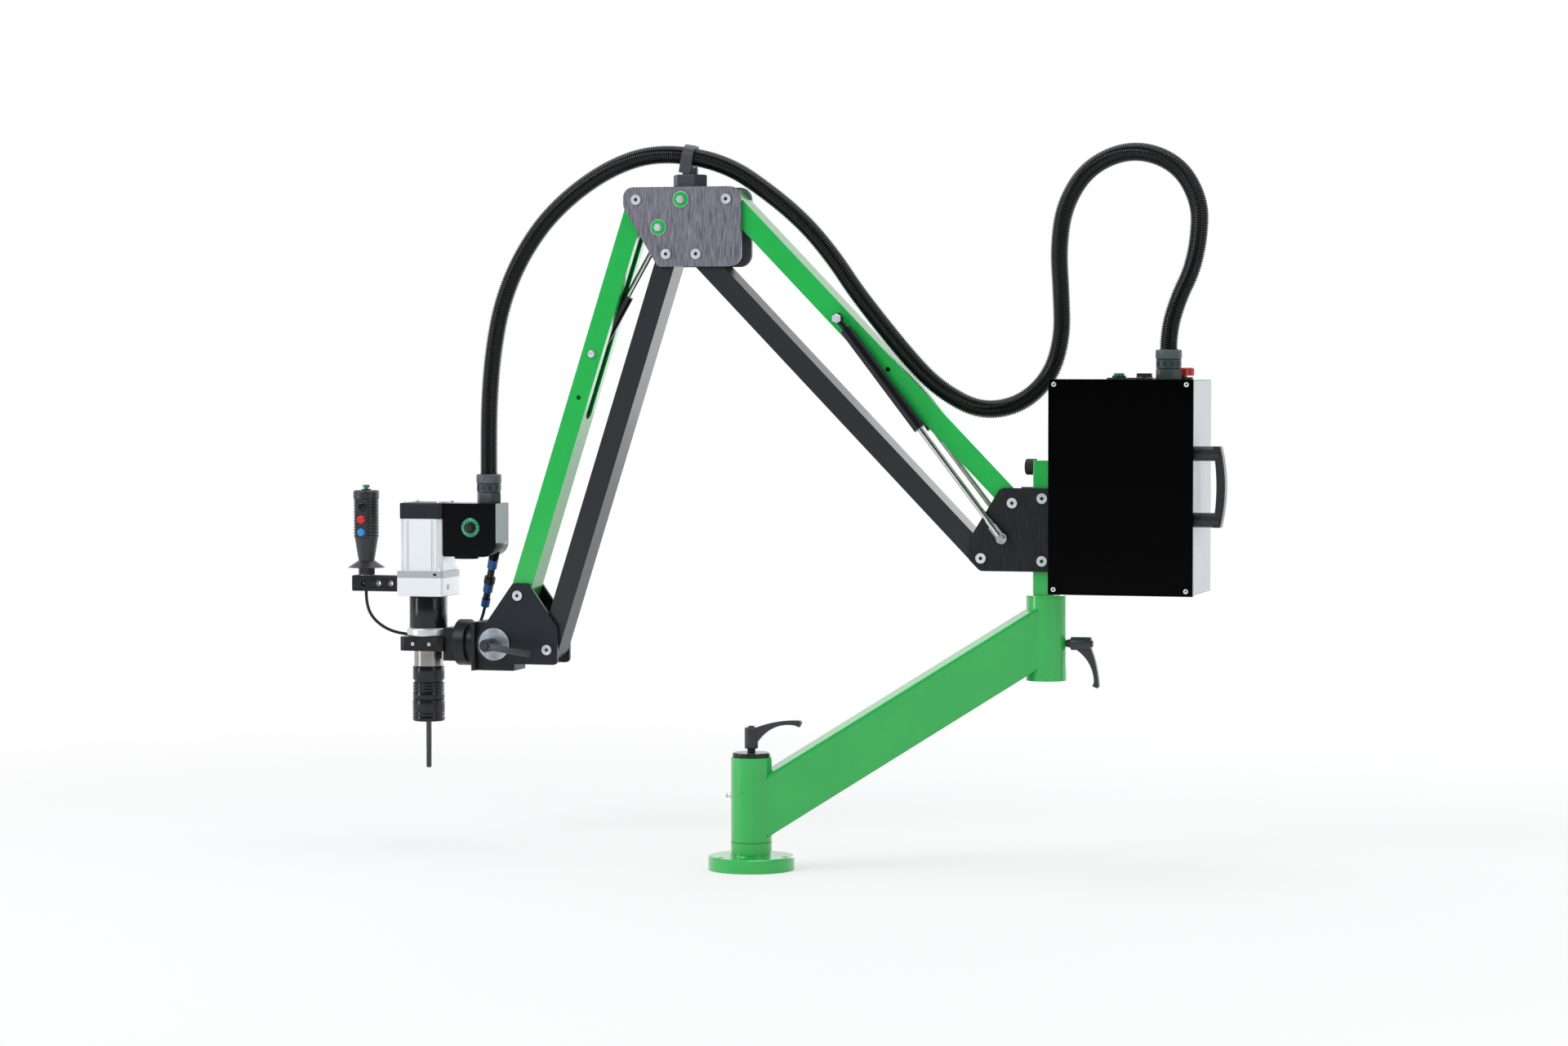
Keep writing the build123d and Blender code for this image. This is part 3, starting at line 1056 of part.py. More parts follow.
def cross_at(path, along):
    """The plane across a path at a length along it, its x axis kept near Y."""
    way = path.tangent_at(along, position_mode=PositionMode.LENGTH)
    return Plane(origin=path.position_at(along, position_mode=PositionMode.LENGTH),
                 x_dir=Vector(0, 1, 0) - way * way.Y, z_dir=way)


def ribbed_hose(points):
    """A corrugated hose with its bore, as ruled lofts through circles across its route."""
    with BuildLine() as line:
        FilletPolyline(*points, radius=cord_radii(points))
    path = line.wire()
    count = round(path.length / rib_pitch)
    pitch = path.length / count
    crest, valley = hose_dia / 2, hose_dia / 2 - rib_deep
    with BuildPart() as hose:
        for start in range(0, count, span_ribs):
            end = min(start + span_ribs, count)
            for i in range(start, end):
                for share, size in ((0, valley), (0.2, crest), (0.6, crest), (0.8, valley)):
                    with BuildSketch(cross_at(path, (i + share) * pitch)):
                        Circle(size)
            with BuildSketch(cross_at(path, min(end * pitch, path.length))):
                Circle(valley)
            loft(ruled=True, clean=False)
            for i in range(start, end + 1):
                with BuildSketch(cross_at(path, min(i * pitch, path.length))):
                    Circle(hose_bore / 2)
            loft(ruled=True, mode=Mode.SUBTRACT, clean=False)
    # mean section: the slopes take 0.4 of each pitch, the crest 0.4 and the valley 0.2
    slope = (crest ** 2 + crest * valley + valley ** 2) / 3
    mean = 0.4 * slope + 0.4 * crest ** 2 + 0.2 * valley ** 2 - hose_bore ** 2 / 4
    print("hose", round(path.length), "mm long,", count, "ribs, radii",
          [round(r) for r in cord_radii(points)], "volume ratio",
          round(hose.part.volume / (pi * mean * path.length), 4))
    return hose


print("cable radii", [round(r) for r in cord_radii(cable_points)], "volume ratio", round(
    grip_cable.part.volume / (pi * cable_dia ** 2 / 4 * sum(
        (b - a).length for a, b in zip(cable_points, cable_points[1:]))), 3))
hose_loop = ribbed_hose(loop_points)
hose_loop.part.label = "hose_loop"
export_step(hose_loop.part, "parts/hose_loop.step")
hose_rear = ribbed_hose(rear_points)
hose_rear.part.label = "hose_rear"
export_step(hose_rear.part, "parts/hose_rear.step")
hose_front = ribbed_hose(front_points)
hose_front.part.label = "hose_front"
export_step(hose_front.part, "parts/hose_front.step")
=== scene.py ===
from math import cos, pi, radians, sin

import bpy
import numpy as np
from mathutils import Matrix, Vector


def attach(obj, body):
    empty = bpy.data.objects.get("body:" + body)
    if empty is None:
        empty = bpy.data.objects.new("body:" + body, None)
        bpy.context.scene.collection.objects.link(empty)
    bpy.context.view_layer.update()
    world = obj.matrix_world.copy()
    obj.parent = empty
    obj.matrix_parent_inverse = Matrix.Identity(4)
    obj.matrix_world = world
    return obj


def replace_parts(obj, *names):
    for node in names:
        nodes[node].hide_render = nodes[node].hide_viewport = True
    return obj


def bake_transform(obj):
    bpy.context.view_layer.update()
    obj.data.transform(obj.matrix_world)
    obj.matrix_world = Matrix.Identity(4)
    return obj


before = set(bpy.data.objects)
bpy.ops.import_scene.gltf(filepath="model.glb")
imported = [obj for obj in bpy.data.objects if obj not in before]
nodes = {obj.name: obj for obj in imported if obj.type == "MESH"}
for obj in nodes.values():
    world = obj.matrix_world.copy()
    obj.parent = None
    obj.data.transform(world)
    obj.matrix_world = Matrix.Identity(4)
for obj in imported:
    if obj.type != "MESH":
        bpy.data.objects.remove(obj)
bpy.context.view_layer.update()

MM = 0.001

# ---------------------------------------------------------------- places, as the CAD has them
# Lengths are in millimetres but for col_x and col_y. A pair is (x, z) in the arm plane, and a
# vector's y goes away from the viewer, from that plane.
REACH, HEADING = 560, radians(26)
col_x, col_y = REACH * cos(HEADING) * MM, REACH * sin(HEADING) * MM
LINK, REAR_ANGLE, FRONT_ANGLE = 800, radians(45.7), radians(17.7)
bracket_up, bracket_low = (446.325, 677), (386.325, 573)
head_up, head_low = (-535.634, 487.425), (-475.634, 383.425)
elbow_rear = Vector((bracket_up[0] - LINK * cos(REAR_ANGLE), 0, bracket_up[1] + LINK * sin(REAR_ANGLE)))
BOLT_HEAD_OUT = 43.1
BOX_WIDE, BOX_DEEP = 268, 188
box_left = col_x / MM + 25
box_right = box_left + BOX_WIDE
tilt = Vector((-583.634, 0, 392.425))
spin_x = tilt.x - 152
grip_x = -865.634
BAR_FOOT, BAR_TOP, GRIP_FOOT = 489.425, 520.425, 592.425
CAP_TOP = 664.925
GLAND_HIGH, GLAND_FOOT = 56, 907
gland_x, motor_gland_x = 733.831, spin_x + 127
plug_start = Vector((spin_x + 100.6, 46.5, tilt.z + 69))
plug_way = Vector((32, -37.5, 94.5))
clip = Vector((-196.408, 0, 1332.554))
CLIP_LEAN = radians(10)
clip_way = Vector((-cos(CLIP_LEAN), 0, sin(CLIP_LEAN)))
HOSE_DIAMETER, RIB_PITCH, CABLE_DIAMETER = 0.035, 0.0043, 0.006    # metres


def at(x, z, out=0.0):
    """A point from millimetres in the arm plane, moved out towards the viewer."""
    return Vector((x * MM, col_y - out * MM, z * MM))


# ---------------------------------------------------------------- camera
camera_data = bpy.data.cameras.new("camera")
camera_data.lens, camera_data.sensor_width = 93.75, 36
camera_data.clip_end = 60
camera = bpy.data.objects.new("camera", camera_data)
turn, dip = radians(16.44), radians(2.38)
camera.location = (2.1928, -7.2177, 0.9563)
camera.rotation_mode = "QUATERNION"
camera.rotation_quaternion = Vector(
    (-sin(turn) * cos(dip), cos(turn) * cos(dip), -sin(dip))).to_track_quat("-Z", "Y")
bpy.context.scene.collection.objects.link(camera)
bpy.context.scene.camera = camera


# ---------------------------------------------------------------- materials
def new_material(name):
    m = bpy.data.materials.new(name)
    m.use_nodes = True
    return m, m.node_tree, m.node_tree.nodes["Principled BSDF"]


def link(tree, a, out, b, socket):
    tree.links.new(a.outputs[out], b.inputs[socket])


def node(tree, kind, **values):
    n = tree.nodes.new(kind)
    for key, value in values.items():
        if key in n.inputs:
            n.inputs[key].default_value = value
        else:
            setattr(n, key, value)
    return n


def mottled(tree, shader, dark, light, scale, stretch=(1, 1, 1), detail=6):
    """A base colour that varies a little, and the noise that it comes from."""
    place = node(tree, "ShaderNodeTexCoord")
    mapping = node(tree, "ShaderNodeMapping")
    mapping.inputs["Scale"].default_value = stretch
    link(tree, place, "Object", mapping, "Vector")
    noise = node(tree, "ShaderNodeTexNoise", Scale=scale, Detail=detail, Roughness=0.6)
    link(tree, mapping, "Vector", noise, "Vector")
    ramp = node(tree, "ShaderNodeValToRGB")
    ramp.color_ramp.elements[0].position, ramp.color_ramp.elements[1].position = 0.3, 0.7
    ramp.color_ramp.elements[0].color = (*dark, 1)
    ramp.color_ramp.elements[1].color = (*light, 1)
    link(tree, noise, "Fac", ramp, "Fac")
    link(tree, ramp, "Color", shader, "Base Color")
    return noise, mapping


def bump(tree, shader, source, out, strength, distance):
    n = node(tree, "ShaderNodeBump", Strength=strength, Distance=distance)
    link(tree, source, out, n, "Height")
    link(tree, n, "Normal", shader, "Normal")


def map_range(tree, from_range, to_range, **values):
    n = node(tree, "ShaderNodeMapRange", **values)
    n.inputs["From Min"].default_value, n.inputs["From Max"].default_value = from_range
    n.inputs["To Min"].default_value, n.inputs["To Max"].default_value = to_range
    return n


def rough_between(tree, shader, source, low, high):
    n = map_range(tree, (0, 1), (low, high))
    link(tree, source, "Fac", n, "Value")
    link(tree, n, "Result", shader, "Roughness")


def paint(name, colour, rough, coat, peel=0.03, specular=0.5):
    """Powder coat: an even colour with a fine orange peel under a clear gloss."""
    m, tree, shader = new_material(name)
    dark = [c * 0.93 for c in colour]
    light = [min(1, c * 1.05) for c in colour]
    mottled(tree, shader, dark, light, 9)
    place = node(tree, "ShaderNodeTexCoord")
    grain = node(tree, "ShaderNodeTexNoise", Scale=900, Detail=2, Roughness=0.5)
    link(tree, place, "Object", grain, "Vector")
    bump(tree, shader, grain, "Fac", peel, 0.0006)
    rough_between(tree, shader, grain, rough - 0.03, rough + 0.05)
    shader.inputs["Coat Weight"].default_value = coat
    shader.inputs["Coat Roughness"].default_value = 0.08
    shader.inputs["Specular IOR Level"].default_value = specular
    return m


def metal(name, dark, light, rough, scale, stretch=(1, 1, 1), metallic=1.0, strength=0.15):
    """Metal with streaks: brushed where stretched, else a cloudy plating."""
    m, tree, shader = new_material(name)
    noise, _ = mottled(tree, shader, dark, light, scale, stretch, 8)
    shader.inputs["Metallic"].default_value = metallic
    rough_between(tree, shader, noise, *rough)
    bump(tree, shader, noise, "Fac", strength, 0.0004)
    return m


def plastic(name, colour, rough=(0.4, 0.6), scale=700, strength=0.25, specular=0.5):
    """Moulded plastic or rubber, with a fine grain."""
    m, tree, shader = new_material(name)
    dark = [c * 0.85 for c in colour]
    light = [min(1, c * 1.2 + 0.002) for c in colour]
    noise, _ = mottled(tree, shader, dark, light, scale, (1, 1, 1), 3)
    rough_between(tree, shader, noise, *rough)
    bump(tree, shader, noise, "Fac", strength, 0.0004)
    shader.inputs["Specular IOR Level"].default_value = specular
    return m


green = paint("green_paint", (0.008, 0.44, 0.07), 0.28, 0.7)
arm_black = paint("arm_black", (0.014, 0.015, 0.021), 0.34, 0.1)
box_black = paint("box_black", (0.0006, 0.0006, 0.0008), 0.2, 0.0, 0.01, 0.06)
BRUSHED = (26, 26, 1.5)
dark_plate = metal("dark_plate", (0.06, 0.058, 0.072), (0.34, 0.33, 0.39), (0.36, 0.5), 20, BRUSHED,
                   0.55, 0.08)
black_plate = metal("black_plate", (0.010, 0.010, 0.012), (0.035, 0.035, 0.04), (0.35, 0.55), 20,
                    BRUSHED, 0.6, 0.08)
head_black = paint("head_black", (0.009, 0.012, 0.017), 0.42, 0.0, 0.05, 0.35)
anodised = metal("anodised", (0.008, 0.008, 0.010), (0.018, 0.018, 0.022), (0.34, 0.46), 60, (1, 1, 1),
                 0.4, 0.08)
bright_steel = metal("bright_steel", (0.55, 0.55, 0.56), (0.8, 0.8, 0.81), (0.12, 0.25), 60, (1, 1, 8))
zinc = metal("zinc", (0.62, 0.66, 0.70), (0.86, 0.89, 0.92), (0.25, 0.38), 45, (1, 1, 1), 0.5, 0.05)
disc_metal = metal("disc_metal", (0.22, 0.27, 0.32), (0.66, 0.72, 0.77), (0.25, 0.4), 34, (1, 1, 1),
                   0.6, 0.05)
motor_metal = metal("motor_metal", (0.80, 0.82, 0.85), (0.85, 0.87, 0.90), (0.36, 0.42), 8, (1, 1, 1),
                    0.25, 0.0)
ring_metal = metal("ring_metal", (0.68, 0.70, 0.71), (0.74, 0.76, 0.77), (0.28, 0.32), 8, (1, 1, 1),
                   0.6, 0.0)
oxide = metal("oxide", (0.008, 0.009, 0.011), (0.014, 0.015, 0.019), (0.16, 0.2), 30, (1, 1, 4),
              0.3, 0.0)
spindle_metal = metal("spindle_metal", (0.30, 0.28, 0.265), (0.38, 0.36, 0.34), (0.2, 0.25), 20,
                      (1, 1, 5), 0.9, 0.0)
tap_metal = metal("tap_metal", (0.05, 0.05, 0.052), (0.13, 0.13, 0.135), (0.25, 0.4), 120, (1, 1, 5))
black_plastic = plastic("black_plastic", (0.012, 0.013, 0.017), (0.35, 0.48))
lever_plastic = plastic("lever_plastic", (0.026, 0.028, 0.034), (0.34, 0.46))
grip_plastic = plastic("grip_plastic", (0.017, 0.019, 0.025), (0.32, 0.42), 300, 0.08)
gland_plastic = plastic("gland_plastic", (0.034, 0.040, 0.050), (0.4, 0.5))
gland_ring = plastic("gland_ring", (0.075, 0.088, 0.105), (0.4, 0.5))
brass = metal("brass", (0.55, 0.36, 0.14), (0.72, 0.5, 0.22), (0.25, 0.35), 40, (1, 1, 1), 0.8, 0.0)
black_rubber = plastic("black_rubber", (0.008, 0.008, 0.009), (0.6, 0.75))
hose_plastic = plastic("hose_plastic", (0.002, 0.0022, 0.003), (0.1, 0.14), 120, 0.0, 0.44)
green_button = plastic("green_button", (0.01, 0.24, 0.10), (0.12, 0.2), 60, 0.02)
red_button = plastic("red_button", (0.58, 0.02, 0.015), (0.12, 0.2), 60, 0.02)
blue_button = plastic("blue_button", (0.02, 0.22, 0.52), (0.12, 0.2), 60, 0.02)
gloss_black = plastic("gloss_black", (0.004, 0.004, 0.005), (0.08, 0.14), 60, 0.02)
plug_plastic = plastic("plug_plastic", (0.012, 0.09, 0.30), (0.35, 0.5))
drive_plastic = plastic("drive_plastic", (0.10, 0.10, 0.11))
# near-black laid in sockets, slots, grooves and notches: painted shade
recess_shade = plastic("recess_shade", (0.004, 0.004, 0.004), (0.7, 0.8))
white_marks = plastic("white_marks", (0.75, 0.75, 0.75), (0.4, 0.5))


def lay_over(m, mask, out, colour):
    """Another colour over a material's own where a mask is 1."""
    tree = m.node_tree
    base = tree.nodes["Principled BSDF"].inputs["Base Color"]
    mix = node(tree, "ShaderNodeMix", data_type="RGBA")
    own, other, result = mix.inputs[6], mix.inputs[7], mix.outputs[2]    # those for colours
    link(tree, mask, out, mix, "Factor")
    tree.links.new(base.links[0].from_socket, own)
    other.default_value = (*colour, 1)
    tree.links.new(result, base)


def coordinate(tree, kind, axis):
    """One coordinate of the surface, and the node that gives it."""
    place = node(tree, "ShaderNodeTexCoord")
    split = node(tree, "ShaderNodeSeparateXYZ")
    link(tree, place, kind, split, "Vector")
    return split, axis


def compared(tree, operation, source, *values):
    """1 where a coordinate passes a test against one or two values, else 0."""
    n = node(tree, "ShaderNodeMath", operation=operation)
    link(tree, *source, n, 0)
    for i, value in enumerate(values):
        n.inputs[i + 1].default_value = value
    return n


def reflection_painted_side(m, colour, above=None):
    """The flat side that faces +X painted paler, a painted reflection of the lamp on that side, all of
    it or the part above a height.
    """
    tree = m.node_tree
    mask = side = compared(tree, "GREATER_THAN", coordinate(tree, "Normal", "X"), 0.95)
    if above is not None:
        over = compared(tree, "GREATER_THAN", coordinate(tree, "Object", "Z"), above)
        mask = node(tree, "ShaderNodeMath", operation="MULTIPLY")
        link(tree, side, "Value", mask, 0)
        link(tree, over, "Value", mask, 1)
    lay_over(m, mask, "Value", colour)


def belt(m, colour, low, high):
    """A greyer belt between two heights."""
    source = coordinate(m.node_tree, "Object", "Z")
    near = compared(m.node_tree, "COMPARE", source, (low + high) / 2, (high - low) / 2)
    lay_over(m, near, "Value", colour)


belt(motor_metal, (0.42, 0.44, 0.47), 0.5188, 0.5320)
shell_paint = paint("shell_paint", (0.008, 0.42, 0.065), 0.5, 0.0, specular=0.2)
# painted reflection: the box's right side is laid paler, as the lamp on that side would show it
reflection_painted_side(shell_paint, (0.66, 0.68, 0.70))
connector_black = paint("connector_black", (0.002, 0.0028, 0.004), 0.16, 0.0, 0.01, 0.12)
# painted reflection: the connector box's right side above a height is laid paler
reflection_painted_side(connector_black, (0.17, 0.19, 0.21), 0.588)

# the plugs' collars are blue between black bodies
tree = plug_plastic.node_tree
plug_end = plug_start + plug_way
place = node(tree, "ShaderNodeTexCoord")
from_end = node(tree, "ShaderNodeVectorMath", operation="SUBTRACT")
from_end.inputs[1].default_value = at(plug_end.x, plug_end.z, -plug_end.y)
link(tree, place, "Object", from_end, 0)
plug_share = node(tree, "ShaderNodeVectorMath", operation="DOT_PRODUCT")
plug_share.inputs[1].default_value = -plug_way / plug_way.length_squared / MM
link(tree, from_end, "Vector", plug_share, 0)
bands = node(tree, "ShaderNodeValToRGB")
bands.color_ramp.interpolation = "CONSTANT"
for n, (start, tone) in enumerate(((0.0, 0), (0.19, 1), (0.51, 0), (0.69, 1), (0.845, 0))):
    stop = bands.color_ramp.elements[n] if n < 2 else bands.color_ramp.elements.new(start)
    stop.position, stop.color = start, (tone, tone, tone, 1)
link(tree, plug_share, "Value", bands, "Fac")
lay_over(plug_plastic, bands, "Color", (0.008, 0.008, 0.010))

finish = {
    green: ("base_pedestal", "extension_arm", "column_tube", "rear_arm_upper", "front_arm_upper"),
    shell_paint: ("box_shell",),
    arm_black: ("rear_arm_lower", "front_arm_lower"),
    box_black: ("box_cover",),
    dark_plate: ("elbow_plates",),
    black_plate: ("bracket_plates",),
    head_black: ("head_plates", "tilt_block", "motor_cap"),
    connector_black: ("connector_box",),
    anodised: ("swivel_flange", "head_clamp", "grip_bar"),
    zinc: ("bracket_bolts", "elbow_bolts", "head_bolts"),
    disc_metal: ("tilt_disc",),
    bright_steel: ("rear_spring_rods", "front_spring_rod"),
    ring_metal: ("gearbox_ring",),
    motor_metal: ("motor_body", "gear_housing"),
    oxide: ("sleeve_cap", "rear_spring_cylinders", "front_spring_cylinder", "gearbox", "chuck_body",
            "chuck_sleeve", "tap_holder"),
    spindle_metal: ("spindle_nose",),
    tap_metal: ("tap",),
    black_plastic: ("box_handle", "box_switch_base", "box_selector", "speed_knob"),
    lever_plastic: ("base_lever", "column_lever", "head_lever"),
    grip_plastic: ("grip",),
    gland_plastic: ("hose_clip", "box_gland", "motor_gland"),
    black_rubber: ("column_bumper", "grip_cable"),
    green_button: ("box_start_button", "grip_start_button"),
    red_button: ("box_stop_button", "grip_red_button"),
    blue_button: ("grip_blue_button",),
    gloss_black: ("grip_black_button",),
    plug_plastic: ("cable_connectors",),
    drive_plastic: ("drive_unit",),
    hose_plastic: ("hose_loop", "hose_rear", "hose_front"),
}
for m, names in finish.items():
    for name in names:
        o = nodes[name]
        if not o.material_slots:
            o.data.materials.append(m)
        for s in o.material_slots:
            s.material = m

# small rounded edges on the machined and moulded pieces, so that they catch the light
edges = {
    1.2: ("motor_cap", "connector_box", "tilt_block", "head_clamp", "elbow_plates", "bracket_plates",
          "head_plates"),
    0.8: ("gear_housing", "motor_body", "grip_bar", "box_cover", "box_shell", "drive_unit"),
    2.0: ("base_lever", "column_lever", "head_lever"),
    0.5: ("chuck_body", "chuck_sleeve", "tap_holder", "gearbox", "box_selector", "speed_knob",
          "sleeve_cap"),
}
for width, names in edges.items():
    for name in names:
        weld = nodes[name].modifiers.new("weld", "WELD")
        weld.merge_threshold = 0.01 * MM
        bevel = nodes[name].modifiers.new("edges", "BEVEL")
        bevel.width, bevel.segments, bevel.limit_method = width * MM, 2, "ANGLE"
        bevel.angle_limit, bevel.use_clamp_overlap = radians(40), True


# ---------------------------------------------------------------- mesh helpers
def mesh_object(name, vertices, faces, material, body, smooth=True):
    data = bpy.data.meshes.new(name)
    data.from_pydata([tuple(v) for v in vertices], [], faces)
    data.update()
    o = bpy.data.objects.new(name, data)
    bpy.context.scene.collection.objects.link(o)
    data.materials.append(material)
    if smooth:
        data.polygons.foreach_set("use_smooth", [True] * len(data.polygons))
        data.set_sharp_from_angle(angle=radians(38))
    if body:
        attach(o, body)
    return o


def frame_of(axis):
    """Two directions square to an axis."""
    axis = Vector(axis).normalized()
    a = Vector((0, 0, 1)) if abs(axis.z) < 0.9 else Vector((1, 0, 0))
    u = axis.cross(a).normalized()
    return axis, u, axis.cross(u)


def turned(name, origin, axis, profile, material, body, count=40):
    """A turned piece, or a prism with few sides, from (radius, height) pairs along an axis."""
    axis, u, v = frame_of(axis)
    vertices, faces = [], []
    for r, h in profile:
        for i in range(count):
            a = 2 * pi * (i + 0.5) / count
            vertices.append(origin + axis * h * MM + (u * cos(a) + v * sin(a)) * r * MM)
    n = (len(profile) - 1) * count
    for j in range(0, n, count):
        for i in range(count):
            k = (i + 1) % count
            faces.append((j + i, j + k, j + count + k, j + count + i))
    if profile[0][0] > 0.01 and profile[0][0] == profile[-1][0]:
        for i in range(count):
            k = (i + 1) % count
            faces.append((n + i, n + k, k, i))
    else:
        if profile[0][0] > 0.01:
            faces.append(tuple(range(count))[::-1])
        if profile[-1][0] > 0.01:
            faces.append(tuple(n + i for i in range(count)))
    return mesh_object(name, vertices, faces, material, body)


# ---------------------------------------------------------------- hose
# the CAD's route in (x, y, z), from the control box over the elbow's clip to the motor
route = [(gland_x, 0, 963), (gland_x, 0, 999), (752.5, 2, 1061), (775, 7, 1108), (787, 14, 1168),
         (787, 25, 1238), (742, 43, 1310), (655, 59, 1340), (567, 74, 1309), (517, 88, 1239),
         (502, 100, 1157), (506, 108, 1068), (508, 110, 987), (487, 103, 912), (436, 77, 859),
         (366, 42, 846), (300, 12, 884), (246, 0, 936), (138, 0, 1066), (92, 0, 1134), (37, 0, 1199),
         (-30, 0, 1256),
         tuple(clip - clip_way * 72.5), tuple(clip + clip_way * 62), (-364, 0, 1312), (-470, 0, 1237),
         (-538, 0, 1150), (-580, 0, 1056), (-599, 0, 960), (-607, 0, 868),
         (motor_gland_x, 0, CAP_TOP + GLAND_HIGH + 70), (motor_gland_x, 0, CAP_TOP + GLAND_HIGH)]


def route_line(points, name):
    """Points along a smooth NURBS spline through a route, in metres."""
    curve = bpy.data.curves.new(name, "CURVE")
    curve.dimensions, curve.resolution_u = "3D", 24
    spline = curve.splines.new("NURBS")
    spline.points.add(len(points) - 1)
    for p, q in zip(spline.points, points):
        p.co = (*q, 1)
    spline.order_u = 3
    spline.use_endpoint_u = True
    o = bpy.data.objects.new(name, curve)
    bpy.context.scene.collection.objects.link(o)
    data = bpy.data.meshes.new_from_object(o)
    line = np.array([v.co for v in data.vertices])
    bpy.data.objects.remove(o)
    bpy.data.meshes.remove(data)
    return line


def along(line, lengths):
    """Points at given lengths along a line of points."""
    steps = np.linalg.norm(np.diff(line, axis=0), axis=1)
    total = np.concatenate([[0], np.cumsum(steps)])
    return np.stack([np.interp(lengths, total, line[:, k]) for k in range(3)], axis=1), total[-1]


def sections(line, lengths):
    """Points and steady cross directions along a line."""
    points, total = along(line, lengths)
    ahead, _ = along(line, np.clip(lengths + 0.002, 0, total))
    behind, _ = along(line, np.clip(lengths - 0.002, 0, total))
    way = ahead - behind
    way /= np.linalg.norm(way, axis=1)[:, None]
    u = np.array([0.0, 1, 0]) - way * way[:, 1:2]
    u /= np.linalg.norm(u, axis=1)[:, None]
    return points, u, np.cross(way, u)


def tube(name, line, start, end, profile, pitch, material, sides=24):
    """A tube along part of a line, its radii repeated each pitch. profile is (share, radius)."""
    count = max(1, round((end - start) / pitch))
    pitch = (end - start) / count
    lengths = [start + (i + s) * pitch for i in range(count) for s, _ in profile] + [end]
    radii = [r for i in range(count) for _, r in profile] + [profile[0][1]]
    points, u, v = sections(line, np.array(lengths))
    angle = np.arange(sides) * 2 * pi / sides
    ring = (u[:, None] * np.cos(angle)[None, :, None] + v[:, None] * np.sin(angle)[None, :, None])
    vertices = (points[:, None] + ring * np.array(radii)[:, None, None]).reshape(-1, 3)
    faces = [(j * sides + i, j * sides + (i + 1) % sides, (j + 1) * sides + (i + 1) % sides,
              (j + 1) * sides + i) for j in range(len(lengths) - 1) for i in range(sides)]
    faces.append(tuple(range(sides))[::-1])
    faces.append(tuple((len(lengths) - 1) * sides + i for i in range(sides)))
    return mesh_object(name, vertices, faces, material, None), points


hose_line = route_line([at(x, z, -y) for x, y, z in route], "hose_route")
_, hose_long = along(hose_line, np.array([0.0]))


def length_at(point):
    """The length along the hose that is nearest to a point."""
    lengths = np.linspace(0, hose_long, 4000)
    points, _ = along(hose_line, lengths)
    return lengths[np.argmin(np.linalg.norm(points - np.array(point), axis=1))]


# the hose is cut where another body begins to carry it, and each piece spans one joint; the bodies and
# bend points listed with each piece are not used here
cut_rear = length_at(at(182, 1013))
cut_clip = length_at(at(clip.x, clip.z))
cut_front, cut_plates, cut_motor = [cut_clip + (hose_long - cut_clip) * n / 4 for n in (1, 2, 3)]
spans = [
    ("hose_over_column", "hose_loop", 0, cut_rear, "column", "rear_upper", at(505, 0), at(250, 0)),
    ("hose_on_rear_arm", "hose_rear", cut_rear, cut_clip, "rear_upper", "elbow", at(20, 0), at(-165, 0)),
    ("hose_at_clip", "hose_front", cut_clip, cut_front, "elbow", "front_upper", None, None),
    ("hose_on_front_arm", "hose_front", cut_front, cut_plates, "front_upper", "head_plates", None, None),
    ("hose_at_head", "hose_front", cut_plates, cut_motor, "head_plates", "tilt_block", None, None),
    ("hose_at_motor", "hose_front", cut_motor, hose_long, "tilt_block", "head", None, None),
]
rib = [(0.0, 0.0150), (0.16, 0.0166), (0.30, 0.0173), (0.43, 0.01745), (0.56, 0.0173), (0.70, 0.0166),
       (0.86, 0.0150)]
for name, replaced, start, end, before, after, bend_from, bend_to in spans:
    piece, points = tube(name, hose_line, start, end, rib, RIB_PITCH, hose_plastic)
    if bend_from is None:
        bend_from, bend_to = Vector(points[0]), Vector(points[-1])
    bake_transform(piece)
    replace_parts(piece, replaced)

# the grip's cable, from the bar to the plugs under the connector box
plug_dir = plug_way.normalized()
cable = [Vector((grip_x - 1, 0, BAR_FOOT))]
for step in ((0, 0, -28), (14, 6, -30), (29, 13, -22), (36, 20, -8), (38, 17, -5), (42, 9, -5),
             (38, 1, 7)):
    cable.append(cable[-1] + Vector(step))
cable += [plug_start - plug_dir * 30, plug_start]
cable_line = route_line([at(p.x, p.z, -p.y) for p in cable], "cable_route")
_, cable_long = along(cable_line, np.array([0.0]))
piece, _ = tube("cable_of_grip", cable_line, 0, cable_long, [(0.0, CABLE_DIAMETER / 2)], 0.004,
                black_rubber, 16)
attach(piece, "head")
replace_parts(piece, "grip_cable")


# ---------------------------------------------------------------- control box details
def screw(name, origin, axis, radius, high, body):
    """A pan-head screw, its hexagon socket a thin near-black disc of painted shade."""
    axis = Vector(axis).normalized()
    r = radius
    turned(name, origin, axis, [(0.001, 0), (r, 0), (r, high * 0.5), (r * 0.86, high * 0.85),
                                (r * 0.6, high), (0.001, high)], zinc, body, 28)
    # the socket: painted shade for the recess
    turned(name + "_socket", origin + axis * high * MM, axis,
           [(0.001, 0), (r * 0.42, 0), (r * 0.38, 0.12), (0.001, 0.12)], recess_shade, body, 6)


for i, (x, z) in enumerate(((box_left + 9, 899), (box_right - 11, 899),
                            (box_left + 9, 520), (box_right - 11, 520))):
    screw("cover_screw_%d" % i, at(x, z, BOX_DEEP / 2), (0, -1, 0), 4.6, 2.4, "column")


